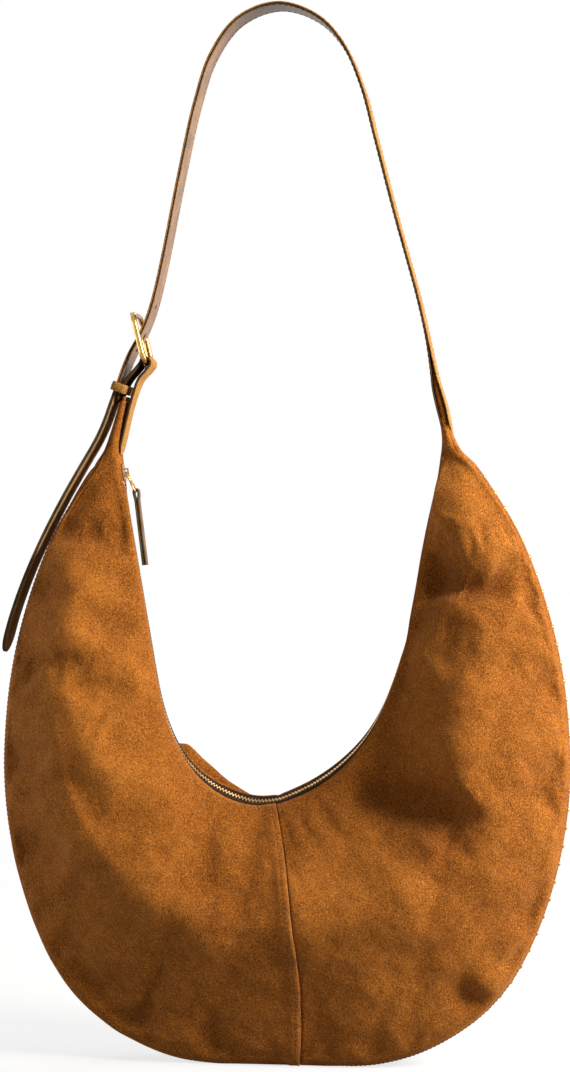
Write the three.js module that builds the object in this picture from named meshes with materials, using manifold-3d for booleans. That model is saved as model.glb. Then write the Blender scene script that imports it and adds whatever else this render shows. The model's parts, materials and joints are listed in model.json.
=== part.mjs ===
// A crescent hobo bag in suede: four body panels, a studded edge band, a curved top zip, and one long strap
// that is sewn to the right horn and buckled to a folded tab on the left horn.
// Millimetres. X runs across the bag to the wearer's right as drawn, Y runs to the back, Z is up.
// The origin is on the floor under the middle of the bag.

import * as THREE from "three";
import { mergeVertices } from "three/addons/utils/BufferGeometryUtils.js";
import Module from "manifold-3d";

const wasm = await Module();
wasm.setup();

// ---- Driving dimensions ------------------------------------------------------------------------------------

const BAG_HALF_WIDTH = 212;
const HORN_TOP_Z = 448; // where the body ends and the two narrow necks begin
const STRAP_TOP_Z = 793;
const SUEDE = 1.4;
const LINING = 0.6;
const LAYER_GAP = 0.5;
const SEAM_GAP = 0.4;

const RIM_HALF_GAP = 10; // half the width of the zipped opening
const BASE_HALF_WIDTH = 17; // half the width of the edge band under the bag, with its seams
const HORN_HALF_DEPTH = 13;
const BELLY = 41; // how far each side swells beyond its seams at the middle of the bag

const STRAP_WIDTH = 30;
const STRAP_PLY = 1.5;
const TAB_THICKNESS = 2;
const WIRE = 1.9; // radius of the buckle's rod

const ZIP_TOOTH_REACH = 3; // from the zip's middle to the outer end of a tooth
const ZIP_TOOTH_HALF_THICKNESS = 1.2;
const ZIP_TAPE_HALF_THICKNESS = 0.4;

const STUD_PITCH = 17.5;
const STUD_RADIUS = 2.2;
const STUD_HEIGHT = 1.5;

const PIVOT_Z = 464; // the height at which both necks bend when the strap falls forwards or back

// ---- Curves in the bag's middle plane, as x and z ----------------------------------------------------------

const flat = (points) => points.map(([x, z]) => new THREE.Vector3(x, 0, z));
const spline = (points) => new THREE.CatmullRomCurve3(flat(points), false, "centripetal");
const mirrored = (points) => points.map(([x, z]) => [-x, z]).reverse();

// The outline runs from the middle of the base round to the horn, and the bag is the same on both sides.
// The middle of the base is flat. The seam between the two halves meets the base a little to the right.
const HALF_OUTLINE = [
  [34, 0], [56, 0.8], [84, 5], [112, 16], [142, 35], [166, 60], [185, 94], [201, 140],
  [210, 188], [BAG_HALF_WIDTH, 228], [206, 295], [190, 357], [169, 406], [141, HORN_TOP_Z],
];
const SEAM_FOOT = [13, 0];
const outlineRight = spline([SEAM_FOOT, ...HALF_OUTLINE]);
const outlineLeft = spline([...mirrored(HALF_OUTLINE), [-20, 0], SEAM_FOOT]);

// The zip starts with a straight stretch under the left neck, which its slider travels.
const ZIP_TOP = new THREE.Vector3(-124.4, 0, HORN_TOP_Z);
const ZIP_STRAIGHT_END = new THREE.Vector3(-97, 0, 288);
const rimLeft = new THREE.CurvePath();
rimLeft.add(new THREE.LineCurve3(ZIP_TOP, ZIP_STRAIGHT_END));
rimLeft.add(spline([[-97, 288], [-91, 262], [-81, 237], [-66, 217], [-46, 203], [-24, 196], [-6, 197]]));
const rimRight = spline([
  [-6, 197], [14, 205], [36, 219], [54, 236], [68, 256], [81, 286],
  [91, 318], [98, 350], [103, 380], [109, 412], [117, HORN_TOP_Z],
]);

// A place on a pair of curves that meet at the middle seam: t is 0 at the left horn and 1 at the right horn.
function along([left, right], t, inwardSign) {
  const curve = t < 0.5 ? left : right;
  const u = THREE.MathUtils.clamp(t < 0.5 ? 2 * t : 2 * t - 1, 0, 1);
  const point = curve.getPointAt(u);
  const tangent = curve.getTangentAt(u);
  const inward = new THREE.Vector3(tangent.z, 0, -tangent.x).multiplyScalar(inwardSign);
  return { point, inward };
}
const rimAt = (t) => along([rimLeft, rimRight], t, 1);
const outlineAt = (t) => along([outlineLeft, outlineRight], t, -1);

// ---- The body's surface ------------------------------------------------------------------------------------

const { lerp, smoothstep } = THREE.MathUtils;
const arch = (t) => Math.sin(Math.PI * THREE.MathUtils.clamp(t, 0, 1));

// The zip's bed leans forwards at the bottom of the opening, and is square to the bag elsewhere.
const RIM_TILT = 0.28;
const rimTilt = (t) => RIM_TILT * smoothstep(t, 0.26, 0.46) * (1 - smoothstep(t, 0.56, 0.78));

// From seam to seam a panel swells slowly below the zip, is fullest past the middle, and turns in steeply at the base.
const FULLEST = 0.6;
function belly(s) {
  const rise = Math.sin((Math.PI / 2) * Math.min(1, s / FULLEST)) ** 1.1;
  const fall = Math.max(0, Math.cos((Math.PI / 2) * Math.max(0, (s - FULLEST) / (1 - FULLEST)))) ** 0.5;
  return rise * fall;
}
const fullness = (t) => BELLY * arch(t) ** 0.75;
const rimHalf = (t) => lerp(RIM_HALF_GAP - 2, RIM_HALF_GAP, arch(t));
const edgeHalf = (t) => lerp(HORN_HALF_DEPTH, BASE_HALF_WIDTH, arch(t));

// side is -1 for the front and 1 for the back, s runs from the zip (0) to the edge band (1), and depth is into the bag.
function bodyPoint(side, t, s, depth) {
  const rim = rimAt(t);
  const edge = outlineAt(t);
  const start = rim.point.addScaledVector(rim.inward, depth);
  const end = edge.point.addScaledVector(edge.inward, depth);
  const point = start.lerp(end, s);
  point.y = side * (lerp(rimHalf(t), edgeHalf(t), s) + fullness(t) * belly(s) - depth);
  point.z += rimTilt(t) * point.y * (1 - s) ** 2;
  return point;
}

// A place in the zip's bed: y across it, and depth into the bag.
function zipPoint(t, y, depth) {
  const { point, inward } = rimAt(t);
  point.addScaledVector(inward, depth);
  point.y = y;
  point.z += rimTilt(t) * y;
  return point;
}

// A place in the edge band.
function edgePoint(t, y, depth) {
  const { point, inward } = outlineAt(t);
  point.addScaledVector(inward, depth);
  point.y = y;
  return point;
}

// ---- Solids ------------------------------------------------------------------------------------------------

function facingOut(geometry) {
  const at = geometry.getAttribute("position");
  const index = geometry.index.array;
  const corner = (i) => new THREE.Vector3().fromBufferAttribute(at, index[i]);
  let volume = 0;
  for (let i = 0; i < index.length; i += 3) {
    volume += corner(i).dot(corner(i + 1).cross(corner(i + 2)));
  }
  if (volume < 0) {
    for (let i = 0; i < index.length; i += 3) {
      [index[i + 1], index[i + 2]] = [index[i + 2], index[i + 1]];
    }
  }
  return geometry;
}

function welded(geometry) {
  geometry.deleteAttribute("normal");
  geometry.deleteAttribute("uv");
  return mergeVertices(geometry, 1e-4);
}

// A unit block whose vertices are moved to place(u, v, w): every sheet, strip and pad here is one bent block.
function bentBlock(columns, rows, place) {
  const geometry = welded(new THREE.BoxGeometry(1, 1, 1, columns, rows, 1));
  const at = geometry.getAttribute("position");
  for (let i = 0; i < at.count; i++) {
    const p = place(at.getX(i) + 0.5, at.getY(i) + 0.5, at.getZ(i) + 0.5);
    at.setXYZ(i, p.x, p.y, p.z);
  }
  return facingOut(geometry);
}

// Every layer of the body bends at the same grid lines, so that layers never cross between them.
// Rows crowd towards the base, where a panel turns fastest.
const COLUMNS = 40;
const ROWS = 8;
const columnAt = (t) => t * COLUMNS;
const crowded = (row) => 1 - (1 - row / ROWS) ** 1.6;

// The grid lines between two places, with the places themselves.
function stops(from, to) {
  const between = [];
  for (let line = Math.floor(from) + 1; line < to; line++) between.push(line);
  return [from, ...between, to];
}
const stopAt = (list, share) => list[Math.round(share * (list.length - 1))];

// A place between two grid lines lies on the straight line that joins them.
function onFacet(place, at, lines) {
  const line = Math.min(Math.floor(at), lines - 1);
  return place(line).lerp(place(line + 1), at - line);
}

// A sheet of the body between two columns, two rows and two depths.
function sheet(side, columns, rows, [depth0, depth1]) {
  const [across, down] = [stops(...columns), stops(...rows)];
  return bentBlock(across.length - 1, down.length - 1, (u, v, w) => {
    const depth = lerp(depth0, depth1, w);
    const column = stopAt(across, u);
    return onFacet((row) => bodyPoint(side, column / COLUMNS, crowded(row), depth), stopAt(down, v), ROWS);
  });
}

// A strip in the zip's bed or in the edge band: place is zipPoint or edgePoint.
function strip(place, [t0, t1], span, [depth0, depth1]) {
  const across = stops(columnAt(t0), columnAt(t1));
  return bentBlock(across.length - 1, 1, (u, v, w) => {
    const column = stopAt(across, u);
    const [y0, y1] = span(column / COLUMNS);
    return onFacet((line) => place(line / COLUMNS, lerp(y0, y1, v), lerp(depth0, depth1, w)), column, COLUMNS);
  });
}

// A strap ply: it follows a curve in the middle plane, between two distances to the curve's left.
function ply(curve, [offset0, offset1], halfWidth, columns, spacing = (u) => u) {
  return bentBlock(columns, 1, (u, v, w) => {
    const at = spacing(u);
    const tangent = curve.getTangentAt(at);
    const left = new THREE.Vector3(-tangent.z, 0, tangent.x);
    const point = curve.getPointAt(at).addScaledVector(left, lerp(offset0, offset1, w));
    point.y = lerp(-1, 1, v) * halfWidth(at);
    return point;
  });
}

const solidOf = (geometry) => {
  const mesh = welded(geometry.index ? geometry.toNonIndexed() : geometry.clone());
  return new wasm.Manifold(new wasm.Mesh({
    numProp: 3,
    vertProperties: mesh.getAttribute("position").array,
    triVerts: new Uint32Array(mesh.index.array),
  }));
};

function geometryOf(solid) {
  const mesh = solid.getMesh();
  return new THREE.BufferGeometry()
    .setAttribute("position", new THREE.BufferAttribute(mesh.vertProperties, 3))
    .setIndex(new THREE.BufferAttribute(mesh.triVerts, 1));
}

const joined = (...geometries) => geometryOf(geometries.map(solidOf).reduce((a, b) => a.add(b)));
const cut = (geometry, ...tools) =>
  geometryOf(tools.map(solidOf).reduce((a, b) => a.subtract(b), solidOf(geometry)));

// A box with its own size, turned about Y and moved to a place in the middle plane.
function block([sizeX, sizeY, sizeZ], { x = 0, y = 0, z = 0, lean = 0 }) {
  return new THREE.BoxGeometry(sizeX, sizeY, sizeZ).rotateY(lean).translate(x, y, z);
}

// A round rod along a line of points.
function rod(points, radius, sides, steps) {
  const circle = new THREE.Shape().absarc(0, 0, radius, 0, 2 * Math.PI, false);
  return new THREE.ExtrudeGeometry(circle, {
    steps, bevelEnabled: false, curveSegments: sides, extrudePath: new THREE.CatmullRomCurve3(points),
  });
}

// A closed loop of rod in the plane of Y and Z, with straight sides and rounded corners.
function loop(width, height, cornerRadius, wire, sides, steps) {
  const torusRadius = 4 * wire;
  const geometry = welded(new THREE.TorusGeometry(torusRadius, wire, sides, steps));
  const at = geometry.getAttribute("position");
  const path = new THREE.Path();
  const [x, y, r] = [width / 2, height / 2, cornerRadius];
  path.moveTo(x, 0).lineTo(x, y - r).absarc(x - r, y - r, r, 0, Math.PI / 2, false)
    .lineTo(r - x, y).absarc(r - x, y - r, r, Math.PI / 2, Math.PI, false)
    .lineTo(-x, r - y).absarc(r - x, r - y, r, Math.PI, 1.5 * Math.PI, false)
    .lineTo(x - r, -y).absarc(x - r, r - y, r, 1.5 * Math.PI, 2 * Math.PI, false)
    .lineTo(x, 0);
  for (let i = 0; i < at.count; i++) {
    const turn = (Math.atan2(at.getY(i), at.getX(i)) / (2 * Math.PI) + 1) % 1;
    const outward = Math.hypot(at.getX(i), at.getY(i)) - torusRadius;
    const centre = path.getPointAt(turn);
    const tangent = path.getTangentAt(turn);
    at.setXYZ(i, at.getZ(i), centre.x + tangent.y * outward, centre.y - tangent.x * outward);
  }
  return facingOut(geometry);
}

// ---- Materials ---------------------------------------------------------------------------------------------

const material = (color, roughness, metalness) =>
  new THREE.MeshStandardMaterial({ color, roughness, metalness });
const suede = material(0x9a5a22, 0.95, 0);
const smoothLeather = material(0x5a3a24, 0.45, 0);
const brass = material(0xc59a4a, 0.25, 1);
const liningCloth = material(0x8b6a48, 0.8, 0);
const tapeCloth = material(0x2e2018, 0.85, 0);

const bag = new THREE.Group();
function add(name, geometry, finish) {
  const mesh = new THREE.Mesh(geometry, finish);
  mesh.name = name;
  bag.add(mesh);
}

// ---- Body panels, edge band and studs ----------------------------------------------------------------------

const SEAM_T = 0.0006; // half the gap of a seam, as a share of the way round the bag
const HALVES = { left: [0, 0.5 - SEAM_T], right: [0.5 + SEAM_T, 1] };
const SIDES = { front: -1, back: 1 };

for (const [side, sign] of Object.entries(SIDES)) {
  for (const [half, range] of Object.entries(HALVES)) {
    add(`${side}_panel_${half}`, sheet(sign, range.map(columnAt), [0, ROWS], [0, SUEDE]), suede);
  }
}

const bandHalf = (t) => edgeHalf(t) - SUEDE - SEAM_GAP;
const STUD_TAPE_DEPTH = SUEDE + LAYER_GAP;
const STUD_POST_RADIUS = 0.7;
const STUD_HOLE_RADIUS = 1;
const STUD_CLEAR_OF_FLOOR = 8; // studs stop where the band comes down to the floor

// The studs of one half stand at an even pitch from the horn to the floor.
function studPlaces([t0, t1]) {
  const halfLength = outlineRight.getLength();
  const step = (STUD_PITCH / halfLength) * 0.5;
  const places = [];
  for (let t = t0 + step; t < t1 - step / 2; t += step) {
    if (outlineAt(t).point.z > STUD_CLEAR_OF_FLOOR) places.push(t);
  }
  return places;
}

// A place on the band's faceted outer face, with the direction into the bag.
function onBand(t) {
  const point = onFacet((line) => outlineAt(line / COLUMNS).point, columnAt(t), COLUMNS);
  const line = Math.floor(columnAt(t));
  const chord = outlineAt((line + 1) / COLUMNS).point.sub(outlineAt(line / COLUMNS).point).normalize();
  return { point, inward: new THREE.Vector3(-chord.z, 0, chord.x) };
}

// A square peg that stands on the band at t, from one depth to another.
function peg(t, radius, depth0, depth1) {
  const { point, inward } = onBand(t);
  const length = depth1 - depth0;
  return new THREE.CylinderGeometry(radius, radius, length, 4)
    .applyQuaternion(new THREE.Quaternion().setFromUnitVectors(new THREE.Vector3(0, 1, 0), inward))
    .translate(point.x + inward.x * (depth0 + length / 2), 0, point.z + inward.z * (depth0 + length / 2));
}

// A low dome closed by its flat base.
function dome(t) {
  const { point, inward } = onBand(t);
  const profile = [[0, 0], [STUD_RADIUS, 0], [STUD_RADIUS * 0.75, STUD_HEIGHT * 0.7], [0, STUD_HEIGHT]]
    .map(([x, y]) => new THREE.Vector2(x, y));
  const outward = inward.clone().negate();
  return new THREE.LatheGeometry(profile, 6)
    .applyQuaternion(new THREE.Quaternion().setFromUnitVectors(new THREE.Vector3(0, 1, 0), outward))
    .translate(point.x + outward.x * 0.3, 0, point.z + outward.z * 0.3);
}

for (const [half, range] of Object.entries(HALVES)) {
  const places = studPlaces(range);
  const band = strip(edgePoint, range, (t) => [-bandHalf(t), bandHalf(t)], [0, SUEDE]);
  const holes = places.map((t) => peg(t, STUD_HOLE_RADIUS, -1, SUEDE + 1));
  add(`edge_band_${half}`, cut(band, ...holes), suede);

  // Each stud's post is clinched through a narrow stay tape inside the band.
  const first = places[0] - 0.006;
  const last = places[places.length - 1] + 0.006;
  const tape = strip(edgePoint, [first, last], () => [-3, 3], [STUD_TAPE_DEPTH, STUD_TAPE_DEPTH + 0.6]);
  const posts = places.map((t) => peg(t, STUD_POST_RADIUS, -0.5, STUD_TAPE_DEPTH + 0.3));
  add(`studs_${half}`, joined(tape, ...posts, ...places.map(dome)), brass);
}

// ---- Inside: facings, lining and a slip pocket -------------------------------------------------------------

const INNER = SUEDE + LAYER_GAP;
for (const [side, sign] of Object.entries(SIDES)) {
  add(`${side}_facing`, sheet(sign, [1, COLUMNS - 1], [0.1, 0.95], [INNER, INNER + 1]), smoothLeather);
  add(`${side}_lining`, sheet(sign, [2, COLUMNS - 2], [1, ROWS - 1], [INNER, INNER + LINING]), liningCloth);
}
const POCKET_DEPTH = INNER + LINING + LAYER_GAP;
const POCKET_COLUMNS = [16, 24];
add("slip_pocket", sheet(SIDES.back, POCKET_COLUMNS, [3, 6], [POCKET_DEPTH, POCKET_DEPTH + 0.8]), liningCloth);
add("pocket_binding", sheet(SIDES.back, POCKET_COLUMNS, [2.6, 2.95], [POCKET_DEPTH, POCKET_DEPTH + 1.4]), smoothLeather);

// ---- Zip: two tapes, two rows of teeth, stops, slider and pull ---------------------------------------------

const TOOTH_GAP = 0.5; // from the zip's middle to a row, where the slider's wedge passes
const TAPE_DEPTH = 1.2; // of the zip's middle plane below the rim
const tapeReach = (t) => rimHalf(t) - SUEDE - LAYER_GAP;
const ZIP_T = [0.004, 0.996];
const around = (middle, half) => [middle - half, middle + half];

for (const [side, sign] of Object.entries(SIDES)) {
  const tapeSpan = (t) => [sign * (ZIP_TOOTH_REACH + 0.3), sign * tapeReach(t)];
  const rowSpan = () => [sign * TOOTH_GAP, sign * ZIP_TOOTH_REACH];
  const rowDepth = around(TAPE_DEPTH, ZIP_TOOTH_HALF_THICKNESS);
  add(`zip_tape_${side}`, strip(zipPoint, ZIP_T, tapeSpan, around(TAPE_DEPTH, ZIP_TAPE_HALF_THICKNESS)), tapeCloth);
  add(`zip_teeth_${side}`, strip(zipPoint, [0.008, 0.988], rowSpan, rowDepth), brass);
  const stopSpan = () => [sign * TOOTH_GAP, sign * (ZIP_TOOTH_REACH - 0.4)];
  add(`zip_top_stop_${side}`, strip(zipPoint, [0.0005, 0.0065], stopSpan, rowDepth), brass);
}
add("zip_bottom_stop", strip(zipPoint, [0.9895, 0.9965], () => [-2.8, 2.8], around(TAPE_DEPTH, 1.6)), brass);

// The slider's own frame: u along the zip (down it), n out of the bag, with its middle on the zip's middle.
const zipDown = ZIP_STRAIGHT_END.clone().sub(ZIP_TOP).normalize();
const zipOut = new THREE.Vector3(-zipDown.z, 0, zipDown.x);
const SLIDER_FROM_TOP = 6.5;
const sliderMiddle = ZIP_TOP.clone().addScaledVector(zipDown, SLIDER_FROM_TOP).addScaledVector(zipOut, -TAPE_DEPTH);
const zipLean = Math.atan2(zipOut.z, zipOut.x);
const SLIDER_LENGTH = 12;
const PLATE = 1.1;
const PLATE_FACE = ZIP_TOOTH_HALF_THICKNESS + 0.35; // from the zip's middle to a plate's inner face
const PLATE_WIDTH = 9.6;

// A box in the slider's frame: out of the bag, across the zip, and along it.
function sliderBlock([out0, out1], [across0, across1], [along0, along1]) {
  const place = sliderMiddle.clone()
    .addScaledVector(zipOut, (out0 + out1) / 2)
    .addScaledVector(zipDown, (along0 + along1) / 2);
  return block([out1 - out0, across1 - across0, along1 - along0],
    { x: place.x, y: (across0 + across1) / 2, z: place.z, lean: -zipLean });
}

const CROWN_CLEAR = 2.1; // room under the slider's crown for the ring
const CROWN_FOOT = PLATE_FACE + PLATE;
function slider() {
  const half = SLIDER_LENGTH / 2;
  const width = PLATE_WIDTH / 2;
  const outer = PLATE_FACE + PLATE;
  const pieces = [
    sliderBlock([PLATE_FACE, outer], [-width, width], [-half, half]),
    sliderBlock([-outer, -PLATE_FACE], [-width, width], [-half, half]),
    sliderBlock([-outer + 0.2, outer - 0.2], [-0.3, 0.3], [-half, -half + 3]), // the wedge that joins the plates
    sliderBlock([outer - 0.2, CROWN_FOOT + CROWN_CLEAR + 1], [-1, 1], [-3.2, -2]),
    sliderBlock([outer - 0.2, CROWN_FOOT + CROWN_CLEAR + 1], [-1, 1], [2, 3.2]),
    sliderBlock([CROWN_FOOT + CROWN_CLEAR, CROWN_FOOT + CROWN_CLEAR + 1], [-1, 1], [-3.2, 3.2]),
  ];
  for (const sign of [-1, 1]) {
    const flange = sign < 0 ? [-width, -width + 0.9] : [width - 0.9, width];
    pieces.push(sliderBlock([0.7, outer], flange, [-half, half]));
    pieces.push(sliderBlock([-outer, -0.7], flange, [-half, half]));
  }
  return joined(...pieces);
}
add("zip_slider", slider(), brass);

// The pull hangs from the crown: a ring, a short link below it, and a folded leather puller through the link.
const RING_WIRE = 0.75;
const RING_WIDTH = 8.5;
const RING_HEIGHT = 11;
const pullPivot = sliderMiddle.clone().addScaledVector(zipOut, CROWN_FOOT + CROWN_CLEAR / 2 + 0.1);
const PULL_LEAN = THREE.MathUtils.degToRad(-28); // the ring hangs away from the rim
const PULLER_LEAN = THREE.MathUtils.degToRad(-7);
const LINK_WIDTH = 13;
const LINK_HEIGHT = 8;
const down = (from, lean, distance) =>
  new THREE.Vector3(from.x - Math.sin(lean) * distance, from.y, from.z - Math.cos(lean) * distance);

// A closed loop that hangs with its middle at a place and leans away from the vertical.
function hung(geometry, place, lean) {
  return geometry.rotateY(lean).translate(place.x, place.y, place.z);
}
const ringMiddle = down(pullPivot, PULL_LEAN, (RING_HEIGHT - 2 * RING_WIRE) / 2);
const linkMiddle = down(pullPivot, PULL_LEAN, RING_HEIGHT - 3 * RING_WIRE + LINK_HEIGHT / 2 + 0.3);
const ring = hung(loop(RING_WIDTH - 2 * RING_WIRE, RING_HEIGHT - 2 * RING_WIRE, 3.4, RING_WIRE, 5, 16), ringMiddle, PULL_LEAN);
const link = hung(loop(LINK_WIDTH - 2 * RING_WIRE, LINK_HEIGHT - 2 * RING_WIRE, 1, RING_WIRE, 5, 24), linkMiddle, PULL_LEAN);
add("zip_pull_link", joined(ring, link), brass);

const PULLER_WIDTH = 9;
const PULLER_LENGTH = 56;
const PULLER_PLY = 1.4;
const pullerPivot = down(linkMiddle, PULL_LEAN, LINK_HEIGHT / 2 - RING_WIRE);
// One strip folded through the link, with both ends hanging side by side.
function puller() {
  const eye = RING_WIRE + 0.35 + PULLER_PLY / 2;
  const side = PULLER_PLY / 2 + 0.4;
  const arm = [[-side, -PULLER_LENGTH], [-side, -34], [-side, -12], [-eye, -1.5], [-eye * 0.72, eye * 0.75]];
  const fold = [...arm, [0, eye], ...mirrored(arm)];
  const nearFold = (u) => 0.5 + 0.5 * Math.sign(2 * u - 1) * Math.abs(2 * u - 1) ** 2.5;
  const folded = ply(spline(fold), [-PULLER_PLY / 2, PULLER_PLY / 2], () => PULLER_WIDTH / 2, 24, nearFold);
  return hung(folded, pullerPivot, PULLER_LEAN);
}
add("zip_puller", puller(), smoothLeather);

// ---- Strap -------------------------------------------------------------------------------------------------

// The strap's middle line, from the keeper on the left, through the buckle, over the top and down to the right neck.
const TAIL_PIVOT = [-130.2, 494];
const STRAP_LINE = [
  [-129.7, 495.5], [-127.4, 502], [-124.2, 510], [-120.6, 520.5], [-116, 531], [-109.8, 542], [-103.8, 554.5],
  [-98, 572], [-91, 602], [-79, 662], [-66, 720], [-54, 755], [-34, 781], [-4, STRAP_TOP_Z - 1.6],
  [26, 781], [45, 760], [59, 728], [69, 690], [84, 632], [101, 570],
];
const OUTER_ANCHOR = [[108.3, 538], [114.2, 512], [118.4, 499], [123, 486], [128.3, 466]];
const INNER_ANCHOR = [[107.9, 538], [111.4, 512], [112.6, 499], [114, 486], [116, 466]];
const outerLine = spline([...STRAP_LINE, ...OUTER_ANCHOR]);
const innerLine = spline([...STRAP_LINE, ...INNER_ANCHOR]);
const PLY_GAP = 0.2;
const strapHalf = STRAP_WIDTH / 2;
const TIP_SHARE = 0.014; // the sewn ends come to a blunt point over this share of the strap
const anchorHalf = (u) => strapHalf * Math.min(1, 0.25 + (0.75 * (1 - u)) / TIP_SHARE);
const towardsEnd = (u) => (u < 0.92 ? (u / 0.92) * (1 - TIP_SHARE) : 1 - TIP_SHARE + ((u - 0.92) / 0.08) * TIP_SHARE);

// The prong's hole is a slot, because the prong crosses the strap at a slant.
const HOLE_AT = new THREE.Vector3(-110.9, 0, 540.4);
const HOLE_LEAN = THREE.MathUtils.degToRad(29);
const prongHole = block([12, 4.6, 16], { x: HOLE_AT.x, z: HOLE_AT.z, lean: HOLE_LEAN });
const SPARE_HOLE_RADIUS = 1.9;
function spareHole(curve, distance) {
  const u = distance / curve.getLength();
  const { x, z } = curve.getPointAt(u);
  const tangent = curve.getTangentAt(u);
  return new THREE.CylinderGeometry(SPARE_HOLE_RADIUS, SPARE_HOLE_RADIUS, 8, 10)
    .rotateZ(Math.PI / 2)
    .rotateY(Math.atan2(tangent.x, tangent.z))
    .translate(x, 0, z);
}
const HOLE_PITCH = 22;
const ABOVE_BUCKLE = 78; // along the strap from the tail's pivot to the first spare hole above the buckle

add("strap_outer", cut(ply(outerLine, [PLY_GAP, PLY_GAP + STRAP_PLY], anchorHalf, 60, towardsEnd),
  prongHole, spareHole(outerLine, ABOVE_BUCKLE)), suede);
add("strap_lining", cut(ply(innerLine, [-PLY_GAP - STRAP_PLY, -PLY_GAP], anchorHalf, 60, towardsEnd),
  prongHole, spareHole(innerLine, ABOVE_BUCKLE)), smoothLeather);

// The tail hangs outside the bag below the keeper, and ends in a rounded tip.
const TAIL_LINE = [
  [-130.8, 492.4], [-134.5, 482], [-141, 467.5], [-154.5, 444.5], [-168, 421], [-183.5, 391], [-197, 360.6],
  [-207.5, 331], [-214, 306],
];
const tailLine = spline(TAIL_LINE.slice().reverse());
const tailLength = tailLine.getLength();
const tailHalf = (u) => {
  const fromTip = Math.min(u * tailLength, strapHalf);
  return Math.max(4, Math.sqrt(strapHalf ** 2 - (strapHalf - fromTip) ** 2));
};
const towardsTip = (u) => (u < 0.25 ? (u / 0.25) ** 2 * (strapHalf / tailLength) : lerp(strapHalf / tailLength, 1, (u - 0.25) / 0.75));
const tailHoles = [0, 1, 2].map((i) => spareHole(tailLine, 120 + i * HOLE_PITCH));
add("tail_outer", cut(ply(tailLine, [PLY_GAP, PLY_GAP + STRAP_PLY], tailHalf, 24, towardsTip), ...tailHoles), suede);
add("tail_lining", cut(ply(tailLine, [-PLY_GAP - STRAP_PLY, -PLY_GAP], tailHalf, 24, towardsTip), ...tailHoles), smoothLeather);

// ---- Necks, buckle tab, keeper and buckle ------------------------------------------------------------------

// A neck is the gathered top of the four panels. Its foot is round about the pivot, so that it can bend over.
const NECK_HALF_DEPTH = 14;
function neck([xFoot, xTop], [halfFoot, halfTop], topZ) {
  const tongue = new THREE.Shape();
  tongue.moveTo(-NECK_HALF_DEPTH + 1.5, topZ - PIVOT_Z);
  tongue.lineTo(-NECK_HALF_DEPTH, 0);
  tongue.absarc(0, 0, NECK_HALF_DEPTH, Math.PI, 2 * Math.PI, false);
  tongue.lineTo(NECK_HALF_DEPTH - 1.5, topZ - PIVOT_Z);
  const geometry = welded(new THREE.ExtrudeGeometry(tongue, { depth: 2, bevelEnabled: false, curveSegments: 8 }));
  const at = geometry.getAttribute("position");
  const [floor, rise] = [-NECK_HALF_DEPTH, topZ - PIVOT_Z + NECK_HALF_DEPTH];
  for (let i = 0; i < at.count; i++) {
    const up = (at.getY(i) - floor) / rise;
    const x = lerp(xFoot, xTop, up) + (at.getZ(i) - 1) * lerp(halfFoot, halfTop, up);
    at.setXYZ(i, x, at.getX(i), at.getY(i) + PIVOT_Z);
  }
  return facingOut(geometry);
}
add("neck_left", neck([-133, -121.2], [4.6, 2.4], 496), suede);
add("neck_right", neck([126, 116.4], [4.8, 1.2], 493), suede);

// The tab folds round the buckle's bar. Its long end lies inside the neck and its short end outside.
const BAR = new THREE.Vector3(-103.8, 0, 523.8);
const BAR_EYE = 3.8;
const onEye = (degrees) => {
  const angle = THREE.MathUtils.degToRad(degrees);
  return [BAR.x + BAR_EYE * Math.cos(angle), BAR.z + BAR_EYE * Math.sin(angle)];
};
const TAB_LINE = [
  [-125, 455], [-121, 472], [-117.2, 488], [-113.4, 501], [-108.9, 512], [-102.5, 519.2],
  onEye(-25), onEye(15), onEye(55), onEye(95), onEye(135), onEye(175),
  [-112, 518.6], [-118, 511.6], [-122, 504.5], [-126.4, 495], [-130.2, 484],
];
const tabCurve = spline(TAB_LINE);
const TAB_HALF = strapHalf - 1;
const tabHalf = (u) => TAB_HALF * Math.min(1, 0.12 + u / 0.13, 0.45 + (1 - u) / 0.06);
const PRONG_WIRE = 1.1;
const tab = ply(tabCurve, [-TAB_THICKNESS / 2, TAB_THICKNESS / 2], tabHalf, 44);
const prongSlot = block([24, 4.4, 17], { x: BAR.x - 4, z: BAR.z + 2.4 });
add("buckle_tab", cut(tab, prongSlot), smoothLeather);

// The keeper is a flat loop round the tail and the tab's outer layer.
const KEEPER_HEIGHT = 8;
const KEEPER_WALL = 1.4;
const KEEPER_THICKNESS = 11.4;
function keeper() {
  const width = STRAP_WIDTH + 1.6;
  const place = { x: -124, z: 505.5, lean: THREE.MathUtils.degToRad(21) };
  const outer = block([KEEPER_THICKNESS, width + 2 * KEEPER_WALL, KEEPER_HEIGHT], place);
  return cut(outer, block([KEEPER_THICKNESS - 2 * KEEPER_WALL, width, KEEPER_HEIGHT + 2], place));
}
add("keeper_loop", keeper(), suede);

// The buckle is a rounded frame of rod that turns on the bar held by the tab, with a prong beside it.
const BUCKLE_LENGTH = 38;
const BUCKLE_LEAN = THREE.MathUtils.degToRad(-14.4);
const buckleUp = new THREE.Vector3(Math.sin(BUCKLE_LEAN), 0, Math.cos(BUCKLE_LEAN));
const buckleMiddle = BAR.clone().addScaledVector(buckleUp, BUCKLE_LENGTH / 2);
add("buckle_frame", hung(loop(STRAP_WIDTH + 6, BUCKLE_LENGTH, 4, WIRE, 8, 36), buckleMiddle, BUCKLE_LEAN), brass);

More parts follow.
